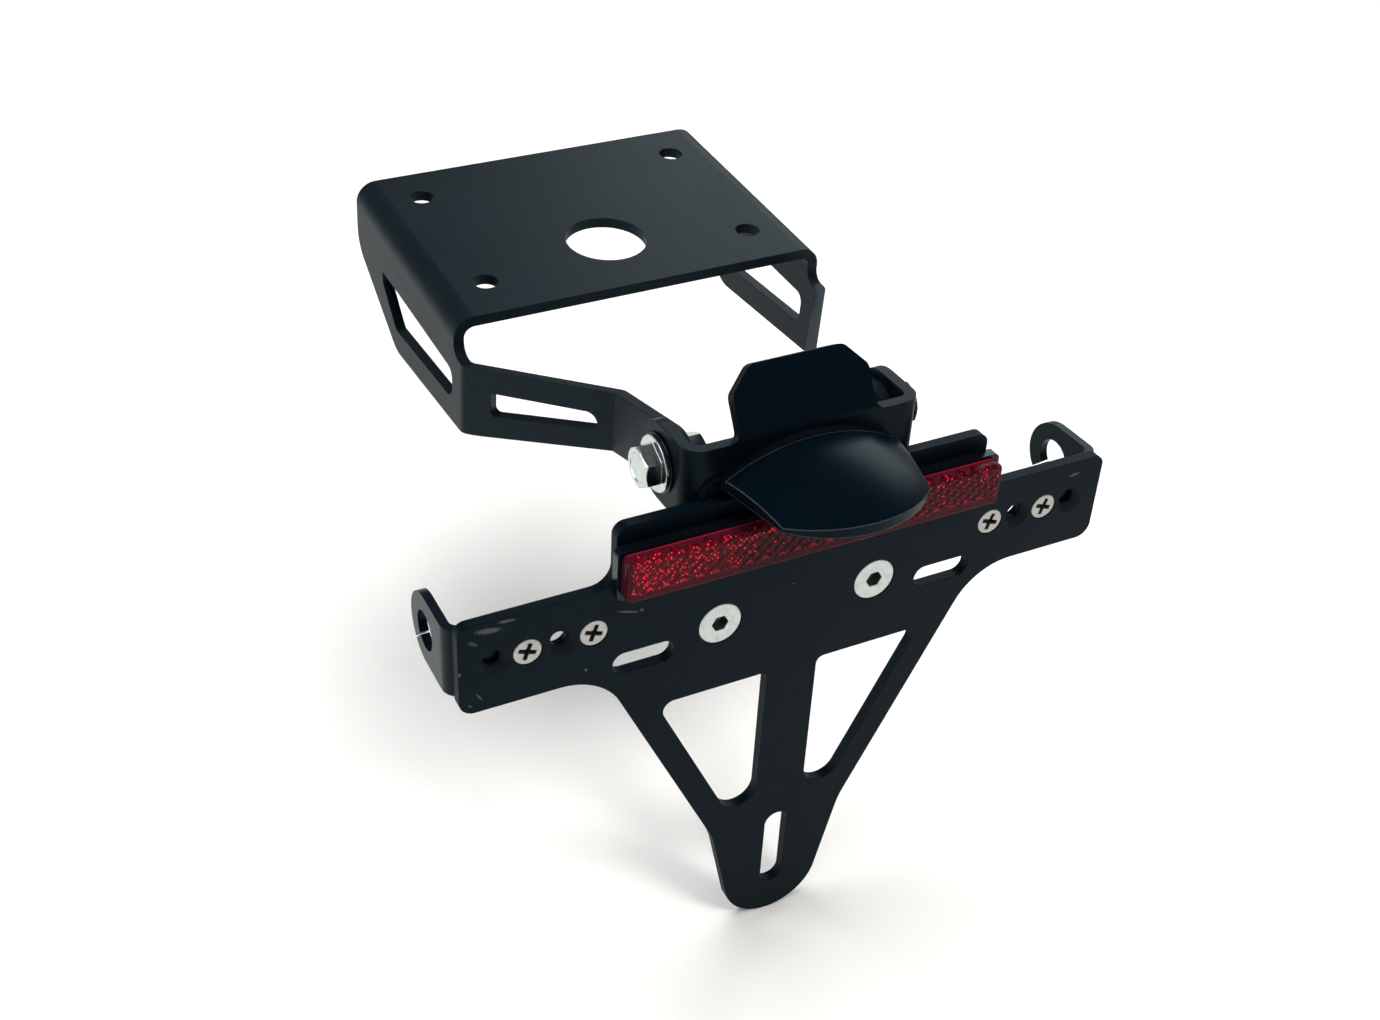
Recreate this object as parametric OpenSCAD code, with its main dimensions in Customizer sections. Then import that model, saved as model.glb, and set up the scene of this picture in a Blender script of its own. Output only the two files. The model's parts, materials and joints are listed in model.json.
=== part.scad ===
// Tail tidy: the licence-plate holder that bolts up under the tail of a motorbike.
// A folded mounting bracket carries a centre bracket on one bolt at each side, so the plate's
// angle can be set. The centre bracket carries the cut plate with its reflector, the plate lamp
// and the two indicator brackets.
// Millimetres. The origin is the centre of the four mounting holes on the bracket's upper face.
// +Z is up and +X is to the right as seen from behind the bike, so the rear of the bike is -Y.
// Everything that swings is drawn in its own frame, with the pivot axis as its origin and the
// plate upright, and is then tilted as one.

/* [Sheet metal] */
// Thickness of the mounting bracket's sheet
bracket_sheet = 3; // [2:0.5:4]
// Thickness of the centre bracket's sheet
centre_sheet = 3; // [2:0.5:4]
// Thickness of the plate
plate_sheet = 3; // [2.5:0.5:4]
// Thickness of the indicator brackets' sheet
indicator_sheet = 3; // [2:0.5:4]
// Inner radius of the long bends
bend_radius = 3; // [2:0.5:4]
// Inner radius of the sharp folds in the arms
fold_radius = 1; // [0.5:0.5:2]
// Inner radius of the small brackets' bends
small_bend_radius = 2; // [1:0.5:2.5]

/* [Mounting bracket] */
// Width over the side flanges
bracket_width = 111.8; // [106:0.2:118]
// From the hole pattern's centre back to the bracket's rear end as it sits on the bike
deck_front = 39.9; // [37:0.1:43]
// From the hole pattern's centre to the edge deepest under the seat
deck_back = 38.5; // [36:0.1:42]
// Spacing of the mounting holes across
hole_span_x = 81.2; // [76:0.2:86]
// Spacing of the mounting holes along
hole_span_y = 49.3; // [44:0.1:54]
// Diameter of the mounting holes
mount_hole = 7; // [6:0.1:8.5]
// Diameter of the cable hole in the deck
deck_cable_hole = 23.2; // [18:0.2:26]
// From the hole pattern's centre to the cable hole
deck_cable_shift = 15.2; // [12:0.1:18]
// Depth of the flange at its deepest corner
flange_depth = 38.2; // [36:0.1:41]
// From the hole pattern's centre to the deepest corner
flange_deep_y = 6.1; // [4:0.1:8]
// Height of the flange at its short edge
flange_back_height = 19.8; // [17:0.1:22]
// Rise of the flange's long lower edge towards the arm, per millimetre
flange_rise = 0.113; // [0.08:0.001:0.14]
// Width of the frame round the flange's window, along its lower edge
window_frame = 7.4; // [6:0.1:9]
// Top of the flange's window below the deck's face
window_top = 17.2; // [15:0.1:19]
// From the window's short end to the flange's back edge
window_back_frame = 21.8; // [18:0.1:25]
// From the window's long end to the flange's front edge
window_front_frame = 1.1; // [1:0.1:3]
// Height of the window's short end
window_back_height = 3.8; // [3:0.1:5]
// Rise of the window's upper edge over its length
window_top_rise = 0.8; // [0:0.1:1.5]

/* [Arms] */
// From the deck's end to the first fold
fold_1_run = 6; // [5:0.1:9]
// From the first fold to the second, along the bike
fold_2_run = 37.7; // [34:0.1:42]
// Height of the arm's upper edge at the first fold, below the deck's face
arm_top_1 = 10.4; // [9:0.1:12]
// Height of the arm's upper edge at the second fold, below the deck's face
arm_top_2 = 1.2; // [0.5:0.1:3]
// Height of the arm's lower edge at the second fold, below the deck's face
arm_bottom_2 = 19.2; // [17:0.1:21]
// Slope of the arm's lower edge in its middle stretch
arm_bottom_slope = 0.36; // [0.33:0.005:0.39]
// Length of the slot in each arm
arm_slot_length = 32.3; // [28:0.1:34]
// Metal left above the slot in each arm
arm_slot_margin = 7.1; // [5:0.1:8]
// From the first fold to the slot
arm_slot_start = 9; // [8:0.1:10]
// Width of the slot at its wide end
arm_slot_wide = 7.5; // [6:0.1:9]
// Width of the slot at its narrow end
arm_slot_narrow = 5.05; // [4:0.05:6.5]
// Radius of the lug at the arm's end
lug_radius = 8; // [7:0.1:8.5]

/* [Pivot] */
// From the hole pattern's centre to the pivot axis
pivot_run = 113.66; // [108:0.01:120]
// Height of the pivot axis below the deck's face
pivot_drop = 0.5; // [0:0.05:2]
// How far the plate leans under, in degrees, as photographed
tilt = 4.35; // [-15:0.05:20]
// Diameter of the pivot bolts
pivot_bolt_d = 6; // [5:0.1:8]
// Width across the flats of the pivot bolts and nuts
pivot_flats = 10; // [9:0.1:13]
// Height of the bolt heads
pivot_head_height = 4.2; // [3.5:0.1:6]
// Height of the nuts
pivot_nut_height = 5; // [4:0.1:7]
// Outer diameter of the washers
washer_d = 14.5; // [12:0.1:18]
// Thickness of the washers
washer_thickness = 1.6; // [1:0.1:2]
// Length of bolt past the nut
bolt_tail = 1.5; // [1:0.1:3]

/* [Centre bracket] */
// Width over the ears
ear_width = 64.5; // [61:0.1:68]
// Radius of the ears about the pivot
ear_radius = 10.4; // [9.5:0.1:11.5]
// From the pivot axis to the plate's front face
plate_reach = 17.4; // [16:0.1:19]
// Width of the bracket's lower part, behind the plate
stem_width = 60; // [58:0.1:64]
// From the pivot axis down to the bracket's lower end
stem_drop = 49; // [47:0.1:52]
// Height of the slots that free the ears from the lower part
relief_height = 1.6; // [1:0.1:2]
// Height of the tab's bend above the pivot axis
tab_bend_height = 11.4; // [10.8:0.05:13]
// How far the tab leans back, in degrees
tab_lean = 30.3; // [20:0.1:40]
// Width of the tab
tab_width = 37.1; // [34:0.1:42]
// Height of the tab's straight sides
tab_side = 10.4; // [9:0.1:12]
// Height of the tab
tab_height = 16.65; // [15:0.05:19]
// Width of the tab's top edge
tab_top_width = 25.2; // [22:0.1:30]
// Diameter of the hole for the lamp's lead
lead_hole = 6; // [4:0.1:6.5]
// Height of that hole below the pivot axis
lead_drop = 1.4; // [0:0.1:2.5]

/* [Plate] */
// Width over the wings
wing_width = 182.6; // [178:0.2:190]
// Top of the wings below the pivot axis
wing_top = 19.56; // [18.5:0.02:20.5]
// Bottom of the wings below the pivot axis
wing_bottom = 45.4; // [44.8:0.1:47]
// Width of the raised middle
raised_width = 102.9; // [100:0.1:104]
// Top of the raised middle below the pivot axis
raised_top = 2.68; // [2:0.02:3.2]
// Half width where the legs leave the wings
leg_start = 54.4; // [53:0.1:56]
// Half width where the legs run into the tongue
tongue_start = 19.8; // [18.5:0.1:21]
// Height where the legs run into the tongue, below the pivot axis
tongue_start_drop = 115; // [112:0.1:118]
// Radius of the tongue's round end
tongue_radius = 14.6; // [13:0.1:15.4]
// Lowest point of the tongue below the pivot axis
tongue_drop = 150.5; // [147:0.1:154]
// Width of the legs
leg_width = 7.1; // [6:0.1:8]
// Width of the rib between the windows
rib_width = 14.7; // [13:0.1:17]
// Top of the windows below the pivot axis
window_drop = 60.4; // [58:0.1:63]
// Width of the plate's fixing slots
tongue_slot_width = 7; // [6:0.1:8]
// Upper end of the tongue's slot below the pivot axis
tongue_slot_top = 113.35; // [110:0.05:116]
// Lower end of the tongue's slot below the pivot axis
tongue_slot_bottom = 139.75; // [137:0.05:142]
// Length of the wings' slots
wing_slot_length = 16.8; // [14:0.1:18]
// Width of the wings' slots
wing_slot_width = 6.3; // [5:0.1:6.8]
// From the middle to the centre of a wing slot
wing_slot_x = 43.3; // [42:0.1:44]
// Centre of the wing slots below the pivot axis
wing_slot_drop = 43.4; // [43:0.1:44]

/* [Screws] */
// Spacing of the two large countersunk screws
plate_screw_span = 44.66; // [42:0.02:46]
// Height of the large screws below the pivot axis
plate_screw_drop = 39.77; // [38.5:0.01:41]
// Thread diameter of the large screws
plate_screw_d = 6; // [5.5:0.1:6.2]
// Head diameter of the large screws
plate_screw_head = 12; // [11.5:0.1:12.4]
// Thread diameter of the small screws
small_screw_d = 4; // [3.6:0.1:4.2]
// Head diameter of the small screws
small_screw_head = 7.5; // [7:0.1:8]
// From the wing's end to the outermost hole of its row
row_end = 8.91; // [8.3:0.01:9.5]
// Pitch of the holes in the wing's row
row_pitch = 8.53; // [8.3:0.01:8.7]
// Height of the row of holes below the pivot axis
row_drop = 31.5; // [30.5:0.1:32.5]
// How far the countersunk heads lie below the surface
head_sink = 0.1; // [0:0.05:0.2]

/* [Indicator brackets] */
// From the wing's end out to the flange's outer face
indicator_overhang = 1.5; // [1:0.1:3]
// From the plate's back to the indicator hole
indicator_hole_run = 14.55; // [14:0.05:17]
// Diameter of the indicator hole
indicator_hole = 11; // [8:0.1:12]
// Radius of the flange's round end
indicator_end_radius = 10.35; // [9.5:0.05:11]
// Height of the indicator hole below the pivot axis
indicator_drop = 30.76; // [30:0.02:31.5]
// Width of the slit that lets a lead into the hole
slit_width = 1; // [0.6:0.1:2]
// From the innermost screw to the end of the bracket's base
indicator_base_margin = 4.5; // [4:0.1:5]

/* [Reflector] */
// Width of the reflector's base
reflector_width = 105.8; // [104:0.2:108]
// Height of the reflector's base
reflector_height = 13.8; // [12:0.1:14.5]
// Top of the reflector's base below the pivot axis
reflector_top = 6.93; // [6:0.01:8]
// Rim of the base round the lens
reflector_rim = 0.75; // [0.4:0.05:1.2]
// Width by which the lens tapers to its front, at each side
lens_taper = 0.45; // [0.2:0.05:0.8]
// How far the pad's edge lies inside the base's
pad_inset = 2.5; // [2:0.1:4]
// Thickness of the adhesive pad
pad_thickness = 1; // [0.5:0.1:1.5]
// Thickness of the base
reflector_base_thickness = 2.66; // [2:0.02:3]
// Thickness of the lens
reflector_lens_thickness = 3.6; // [3:0.1:4.5]

/* [Lamp] */
// Width of the lamp's base
lamp_width = 49; // [46:0.2:52]
// Height of the lamp's base above the pivot axis
lamp_top = 9.7; // [9.2:0.05:9.9]
// Underside of the lamp above the pivot axis
lamp_underside = 0.2; // [0.1:0.05:0.5]
// Thickness of the lamp's gasket
gasket_thickness = 2.7; // [2:0.1:3]
// Reach of the housing in front of the gasket
lamp_reach = 28.8; // [26:0.1:32]
// Reach of the housing's front corners
lamp_corner_reach = 20.2; // [18:0.1:22]
// Width of the housing where it leaves the gasket
lamp_root_width = 47.2; // [44:0.2:50]
// Width over the front corners
lamp_front_width = 39.8; // [38:0.2:44]
// Radius of the roof across
roof_radius_across = 45; // [40:1:60]
// Radius of the roof from back to front
roof_radius_along = 68; // [62:1:90]
// Wall of the housing
lamp_wall = 1.6; // [1.2:0.1:2]
// Thickness of the lamp's lens
lamp_lens_thickness = 1; // [0.8:0.1:1.2]
// Thickness of the lamp's circuit board
board_thickness = 1.2; // [0.8:0.1:1.6]
// Spacing of the lamp's studs
stud_span = 24; // [20:0.2:28]
// Diameter of the lamp's studs
stud_d = 4; // [3:0.1:4.5]

/* [Fits] */
// Play between a pivot bolt and its holes, all round
pivot_fit = 0.05; // [0.02:0.01:0.1]
// Play between each ear and the lug inside it
ear_gap = 0.1; // [0.05:0.05:0.3]
// Play round screws and studs, and between inlaid pieces
fit = 0.05; // [0.02:0.01:0.1]

/* [Hidden] */
$fn = 72;
LEFT = -1;
RIGHT = 1;
over = 1;
black = [0.05, 0.055, 0.06];
zinc = [0.72, 0.73, 0.74];
steel = [0.66, 0.64, 0.6];
red = [0.7, 0.03, 0.06];

// Mounting bracket: plan of the arms
half_width = bracket_width / 2;
ear_inner = ear_width / 2 - centre_sheet;
lug_outer = ear_inner - ear_gap;
deck_end_y = -deck_front;
fold_1 = [-half_width, deck_end_y - fold_1_run];
fold_2 = [-lug_outer, fold_1.y - fold_2_run];
fold_angle = atan2(fold_2.x - fold_1.x, fold_1.y - fold_2.y);
fold_shift = bracket_sheet * tan(fold_angle / 2);
middle_length = norm(fold_2 - fold_1);
pivot = [0, -pivot_run, -pivot_drop];
lug_end_y = pivot.y - lug_radius - over;

// Mounting bracket: side view
flange_deep = [flange_deep_y, -flange_depth];
flange_line_at_fold = -flange_depth + flange_rise * (flange_deep_y - fold_1.y);
arm_bottom_at_fold = -arm_bottom_2 - arm_bottom_slope * fold_2_run;
knee_run = (flange_line_at_fold - arm_bottom_at_fold) / (arm_bottom_slope - flange_rise);
knee = [fold_1.y - knee_run, flange_line_at_fold + flange_rise * knee_run];
deck_bend = bend_radius + bracket_sheet;
notch_radius = 3.5;
knee_radius = 10 * bracket_sheet;
flange_corner = 9.5;
small_corner = 1.5;
side_height = flange_depth + pivot_drop + lug_radius + over;

// Swinging frame: depths in front of the pivot axis
plate_front = -plate_reach;
plate_back = plate_front + plate_sheet;
stem_front = plate_back;
stem_back = stem_front + centre_sheet;
indicator_base_back = plate_back + indicator_sheet;

// Plate: outline
leg_start_corner = [leg_start, -wing_bottom];
tongue_corner = [tongue_start, -tongue_start_drop];
tongue_centre = [0, tongue_radius - tongue_drop];
leg_slope = (leg_start - tongue_start) / (tongue_start_drop - wing_bottom);
leg_edge_shift = leg_width * sqrt(1 + leg_slope * leg_slope);
window_inner = rib_width / 2;
window_outer_top = leg_start - leg_slope * (window_drop - wing_bottom) - leg_edge_shift;
window_apex = -window_drop - (window_outer_top - window_inner) / leg_slope;
wing_half = wing_width / 2;
row_holes = [for (i = [3:-1:0]) wing_half - row_end - i * row_pitch];
screwed = [row_holes[0], row_holes[2]];
indicator_reach = wing_half + indicator_overhang;
indicator_base_start = row_holes[0] - indicator_base_margin;

// Reflector: depths
pad_front = plate_front - pad_thickness;
reflector_base_front = pad_front - reflector_base_thickness;
reflector_lens_front = reflector_base_front - reflector_lens_thickness;
reflector_middle = -reflector_top - reflector_height / 2;

// Lamp
gasket_front = stem_front - gasket_thickness;
lamp_half = lamp_width / 2;
gasket_rise = lamp_top - lamp_underside - 1;
gasket_radius = (lamp_half * lamp_half + gasket_rise * gasket_rise) / (2 * gasket_rise);
roof_top = lamp_top - 0.3;
front_sagitta = lamp_reach - lamp_corner_reach;
front_half = lamp_front_width / 2;
front_radius = (front_half * front_half + front_sagitta * front_sagitta) / (2 * front_sagitta);
stud_height = 4.6;
board_top = 3.4;
board_size = [26, 11];
board_middle = gasket_front - 12;
led_pitch = 8;
stud_nut_flats = 7;
stud_nut_height = 3.2;
small_nut_flats = 7;
small_nut_height = 3.2;
plate_nut_flats = 10;
plate_nut_height = 5;
screw_tail = 1.2;
head_turn = 53;
socket_depth = 2.3;
cross_length = 0.56 * small_screw_head;
cross_width = 0.9;
cross_depth = 1.1;
cross_turn = 20;
post = [2, 4];
led = [3, 3, 1];

function unit(v) = v / norm(v);
function xy(p) = [p.x, p.y];
function turn(v, a) = [v.x * cos(a) - v.y * sin(a), v.x * sin(a) + v.y * cos(a)];
function cross_z(a, b) = a.x * b.y - a.y * b.x;
function across(flats) = flats / cos(30);

// The point where a line from p touches a circle, on its left (side = 1) or right (side = -1)
function touch(p, centre, r, side) =
    let(d = centre - p, length = norm(d))
    p + turn(unit(d), side * asin(r / length)) * sqrt(length * length - r * r);

// Twice the area of an outline, positive when it runs anticlockwise
function doubled_area(p, i = 0) =
    i == len(p) ? 0 : cross_z(xy(p[i]), xy(p[(i + 1) % len(p)])) + doubled_area(p, i + 1);

// The sliver between a corner and the arc that rounds it
module corner_sliver(before, corner, after, r) {
    a = unit(before - corner);
    b = unit(after - corner);
    half = acos(a * b) / 2;
    inward = unit(a + b);
    centre = corner + inward * r / sin(half);
    difference() {
        polygon([corner - inward * 0.01, corner + a * r / tan(half), centre, corner + b * r / tan(half)]);
        translate(centre) circle(r);
    }
}

// A closed outline whose corners are [x, y, radius], rounded outward and inward alike
module rounded(points) {
    n = len(points);
    way = sign(doubled_area(points));
    function corner_way(i) =
        way * sign(cross_z(xy(points[i]) - xy(points[(i + n - 1) % n]),
                           xy(points[(i + 1) % n]) - xy(points[i])));
    difference() {
        union() {
            polygon([for (p = points) xy(p)]);
            for (i = [0:n - 1])
                if (points[i][2] > 0 && corner_way(i) < 0)
                    corner_sliver(xy(points[(i + n - 1) % n]), xy(points[i]), xy(points[(i + 1) % n]),
                                  points[i][2]);
        }
        for (i = [0:n - 1])
            if (points[i][2] > 0 && corner_way(i) > 0)
                corner_sliver(xy(points[(i + n - 1) % n]), xy(points[i]), xy(points[(i + 1) % n]),
                              points[i][2]);
    }
}

// An outline on one side, given from the middle out and back, closed by its mirror image
function mirrored(half) =
    concat(half, [for (i = [len(half) - 1:-1:0]) if (half[i].x != 0) [-half[i].x, half[i].y, half[i][2]]]);

// A slot with round ends from one centre to the other
module slot(from, to, width) {
    d = unit(to - from);
    side = [-d.y, d.x] * width / 2;
    translate(from) circle(d = width);
    translate(to) circle(d = width);
    polygon([from + side, to + side, to - side, from - side]);
}

// Side view, given as [y, z], drawn out to both sides of x = 0
module side_view(half) {
    translate([-half, 0, 0])
        rotate([90, 0, 90])
            linear_extrude(2 * half) children();
}

// Rear view, given as [x, z], as a sheet from its back face to its front face
module rear_view(back, front) {
    translate([0, back, 0])
        rotate([90, 0, 0])
            linear_extrude(back - front) children();
}

// A cylinder along y from its back to its front
module bore(back, front, r) {
    translate([0, back, 0])
        rotate([90, 0, 0])
            cylinder(h = back - front, r = r);
}

// Places what swings: its origin is the pivot axis
module swing() {
    translate(pivot)
        rotate([-tilt, 0, 0]) children();
}

module both_sides() {
    children();
    mirror([1, 0, 0]) children();
}

// Mounting bracket

function arm_plan() = [
    [-half_width, deck_end_y + 4, 0],
    [fold_1.x, fold_1.y, fold_radius + bracket_sheet],
    [fold_2.x, fold_2.y, fold_radius],
    [-lug_outer, lug_end_y, 0],
    [-lug_outer + bracket_sheet, lug_end_y, 0],
    [fold_2.x + bracket_sheet, fold_2.y + fold_shift, fold_radius + bracket_sheet],
    [fold_1.x + bracket_sheet, fold_1.y + fold_shift, fold_radius],
    [-half_width + bracket_sheet, deck_end_y + 4, 0]
];

module bracket_side_outline() {
    lug = [pivot.y, pivot.z];
    arm_top = [fold_2.y, -arm_top_2];
    arm_bottom = [fold_2.y, -arm_bottom_2];
    top_touch = touch(arm_top, lug, lug_radius, -1);
    bottom_touch = touch(arm_bottom, lug, lug_radius, 1);
    rounded([
        [deck_back, over, 0],
        [deck_end_y, over, 0],
        [deck_end_y, -arm_top_1, notch_radius],
        [fold_1.y, -arm_top_1, 0],
        [arm_top.x, arm_top.y, 0],
        [top_touch.x, top_touch.y, 0],
        [lug.x, lug.y, 0],
        [bottom_touch.x, bottom_touch.y, 0],
        [arm_bottom.x, arm_bottom.y, 0],
        [knee.x, knee.y, knee_radius],
        [flange_deep.x, flange_deep.y, flange_corner],
        [deck_back, -flange_back_height, flange_corner]
    ]);
    translate(lug) circle(lug_radius);
}

module flange_window_outline() {
    back = deck_back - window_back_frame;
    front = deck_end_y + window_front_frame;
    function lower(y) = -flange_depth + window_frame + flange_rise * (flange_deep_y - y);
    rounded([
        [back, -window_top, 1],
        [back, -window_top - window_back_height, 2],
        [flange_deep_y, lower(flange_deep_y), 2.5],
        [front, lower(front), 4],
        [front, -window_top + window_top_rise, 3]
    ]);
}

module arm_slot_outline() {
    end = arm_slot_start + arm_slot_length;
    top_slope = (arm_top_1 - arm_top_2) / middle_length;
    function upper(u) = -arm_top_1 - arm_slot_margin + top_slope * u;
    rounded([
        [arm_slot_start, upper(arm_slot_start), small_corner],
        [end, upper(end), 2 * small_corner],
        [end, upper(end) - arm_slot_narrow, small_corner],
        [arm_slot_start, upper(arm_slot_start) - arm_slot_wide, small_corner]
    ]);
}

module mounting_bracket() {
    color(black)
    difference() {
        union() {
            intersection() {
                rear_view(deck_back, deck_end_y)
                    rounded(mirrored([
                        [half_width, 0, deck_bend],
                        [half_width, -flange_depth - over, 0],
                        [half_width - bracket_sheet, -flange_depth - over, 0],
                        [half_width - bracket_sheet, -bracket_sheet, bend_radius]
                    ]));
                side_view(half_width + over) bracket_side_outline();
            }
            intersection() {
                both_sides()
                    translate([0, 0, -flange_depth - over])
                        linear_extrude(side_height) rounded(arm_plan());
                side_view(half_width + over)
                    difference() {
                        bracket_side_outline();
                        translate([deck_end_y, -deck_bend - over / 2])
                            square([deck_back + deck_front + over, side_height]);
                    }
            }
        }
        for (x = [-1, 1], y = [-1, 1])
            translate([x * hole_span_x / 2, y * hole_span_y / 2, -bracket_sheet - over])
                cylinder(h = bracket_sheet + 2 * over, d = mount_hole);
        translate([0, -deck_cable_shift, -bracket_sheet - over])
            cylinder(h = bracket_sheet + 2 * over, d = deck_cable_hole);
        side_view(half_width + over) flange_window_outline();
        both_sides()
            translate([fold_1.x, fold_1.y, 0])
                rotate([0, 0, fold_angle - 90])
                    rotate([90, 0, 0])
                        linear_extrude(3 * bracket_sheet, center = true) arm_slot_outline();
        translate([-half_width, pivot.y, pivot.z])
            rotate([0, 90, 0])
                cylinder(h = bracket_width, r = pivot_bolt_d / 2 + pivot_fit);
    }
}

// Centre bracket

module centre_bracket() {
    ear_outer = ear_width / 2;
    bend = small_bend_radius + centre_sheet;
    flat_half = ear_outer - bend;
    lean = [sin(tab_lean), cos(tab_lean)];
    square_off = [cos(tab_lean), -sin(tab_lean)];
    tab_foot = [stem_front, tab_bend_height];
    tab_tip = tab_foot + lean * (tab_height + over);
    shoulder = (ear_radius - tab_bend_height) * cos(tab_lean);
    color(black)
    swing()
    difference() {
        union() {
            // The face and both ears, folded round from one strip
            intersection() {
                translate([0, 0, -2 * ear_radius])
                    linear_extrude(4 * ear_radius)
                        rounded(mirrored([
                            [ear_outer, stem_front, bend],
                            [ear_outer, ear_radius + over, 0],
                            [ear_inner, ear_radius + over, 0],
                            [ear_inner, stem_back, small_bend_radius]
                        ]));
                side_view(ear_outer + over) {
                    circle(ear_radius);
                    translate([stem_front - over, -ear_radius])
                        square([over - stem_front, 2 * ear_radius]);
                }
            }
            // The lower part behind the plate
            rear_view(stem_back, stem_front) {
                rounded(mirrored([
                    [stem_width / 2, -ear_radius - relief_height, 1],
                    [stem_width / 2, -stem_drop, 5]
                ]));
                translate([-flat_half, -ear_radius - relief_height - over])
                    square([2 * flat_half, relief_height + 2 * over]);
            }
            // The tab, folded back at the top
            intersection() {
                side_view(ear_outer)
                    rounded([
                        [stem_front, 0, 0],
                        [tab_foot.x, tab_foot.y, bend],
                        [tab_tip.x, tab_tip.y, 0],
                        [tab_tip.x + square_off.x * centre_sheet, tab_tip.y + square_off.y * centre_sheet, 0],
                        [stem_back, tab_foot.y - centre_sheet * tan(tab_lean / 2), small_bend_radius],
                        [stem_back, 0, 0]
                    ]);
                translate([0, tab_foot.x, tab_foot.y])
                    rotate([-tab_lean, 0, 0])
                        rear_view(3 * centre_sheet, -2 * centre_sheet)
                            rounded(mirrored([
                                [flat_half, shoulder - 4, 0],
                                [flat_half, shoulder, 0],
                                [tab_width / 2, shoulder, 3],
                                [tab_width / 2, tab_side, 3],
                                [tab_top_width / 2, tab_height, 3]
                            ]));
            }
        }
        translate([-ear_outer - over, 0, 0])
            rotate([0, 90, 0])
                cylinder(h = ear_width + 2 * over, r = pivot_bolt_d / 2 + pivot_fit);
        for (side = [LEFT, RIGHT]) {
            translate([side * plate_screw_span / 2, 0, -plate_screw_drop])
                bore(stem_back + over, stem_front - over, plate_screw_d / 2 + fit);
            translate([side * stud_span / 2, 0, stud_height])
                bore(stem_back + over, stem_front - over, stud_d / 2 + fit);
        }
        translate([lead_hole / 2 - flat_half - 0.1 * lead_hole, 0, -lead_drop])
            bore(stem_back + over, stem_front - over, lead_hole / 2);
    }
}

// Plate

// A countersunk hole from the front face, for a 90 degree head
module countersunk_hole(thread, head, sheet) {
    r = thread / 2 + fit;
    head_r = head / 2 + fit;
    bore(plate_back + over, plate_front - over, r);
    translate([0, plate_front - over, 0])
        rotate([-90, 0, 0])
            cylinder(h = over, r = head_r);
    translate([0, plate_front, 0])
        rotate([-90, 0, 0])
            cylinder(h = min(head_r - r, sheet - 0.1), r1 = head_r, r2 = max(r, head_r - sheet + 0.1));
}

module holder_plate() {
    // The tongue's sides run on to a point, which its radius then rounds
    tongue_touch = touch(tongue_corner, tongue_centre, tongue_radius, 1);
    tongue_fall = (tongue_touch.y - tongue_corner.y) * tongue_corner.x / (tongue_corner.x - tongue_touch.x);
    color(black)
    swing()
    difference() {
        rear_view(plate_back, plate_front)
            rounded(mirrored([
                [0, -raised_top, 0],
                [raised_width / 2, -raised_top, 3],
                [raised_width / 2, -wing_top, 5.5],
                [wing_half, -wing_top, 3],
                [wing_half, -wing_bottom, 4],
                [leg_start_corner.x, leg_start_corner.y, 18],
                [tongue_corner.x, tongue_corner.y, 22],
                [0, tongue_corner.y + tongue_fall, tongue_radius]
            ]));
        rear_view(plate_back + over, plate_front - over) {
            for (side = [LEFT, RIGHT]) {
                rounded([
                    [side * window_inner, -window_drop, 2.2],
                    [side * window_outer_top, -window_drop, 3],
                    [side * window_inner, window_apex, 5.7]
                ]);
                wing_slot_half = (wing_slot_length - wing_slot_width) / 2;
                slot([side * (wing_slot_x - wing_slot_half), -wing_slot_drop],
                     [side * (wing_slot_x + wing_slot_half), -wing_slot_drop], wing_slot_width);
            }
            slot([0, -tongue_slot_top - tongue_slot_width / 2],
                 [0, -tongue_slot_bottom + tongue_slot_width / 2], tongue_slot_width);
        }
        for (side = [LEFT, RIGHT]) {
            translate([side * plate_screw_span / 2, 0, -plate_screw_drop])
                countersunk_hole(plate_screw_d, plate_screw_head, plate_sheet);
            for (x = row_holes)
                translate([side * x, 0, -row_drop])
                    countersunk_hole(small_screw_d, small_screw_head, plate_sheet);
        }
    }
}

// Indicator brackets

module indicator_bracket() {
    outer = indicator_reach;
    inner = outer - indicator_sheet;
    bend = small_bend_radius + indicator_sheet;
    end_y = plate_back + indicator_hole_run;
    color(black)
    swing()
    difference() {
        intersection() {
            translate([0, 0, -indicator_drop - 2 * indicator_end_radius])
                linear_extrude(4 * indicator_end_radius)
                    rounded([
                        [indicator_base_start, plate_back, 0],
                        [outer, plate_back, bend],
                        [outer, end_y + indicator_end_radius + over, 0],
                        [inner, end_y + indicator_end_radius + over, 0],
                        [inner, indicator_base_back, small_bend_radius],
                        [indicator_base_start, indicator_base_back, 0]
                    ]);
            side_view(outer + over) {
                translate([end_y, -indicator_drop]) circle(indicator_end_radius);
                translate([plate_back - over, -indicator_drop - indicator_end_radius])
                    square([indicator_hole_run + over, 2 * indicator_end_radius]);
            }
            rear_view(end_y + 2 * indicator_end_radius, plate_back - over)
                rounded([
                    [outer + over, -indicator_drop + indicator_end_radius + over, 0],
                    [outer + over, -indicator_drop - indicator_end_radius - over, 0],
                    [outer - bend, -indicator_drop - indicator_end_radius, 0],
                    [indicator_base_start, -indicator_drop - indicator_end_radius, 3],
                    [indicator_base_start, -indicator_drop + indicator_end_radius, 3],
                    [outer - bend, -indicator_drop + indicator_end_radius, 0]
                ]);
        }
        translate([inner - over, end_y, -indicator_drop]) {
            rotate([0, 90, 0])
                cylinder(h = indicator_sheet + 2 * over, d = indicator_hole);
            translate([0, 0, -slit_width / 2])
                cube([indicator_sheet + 2 * over, indicator_end_radius + over, slit_width]);
        }
        for (x = [row_holes[0], row_holes[1], row_holes[2]])
            translate([x, 0, -row_drop])
                bore(indicator_base_back + over, plate_back - over, small_screw_d / 2 + fit);
    }
}

module indicator_bracket_left() { mirror([1, 0, 0]) indicator_bracket(); }
module indicator_bracket_right() { indicator_bracket(); }

// Reflector

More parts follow.
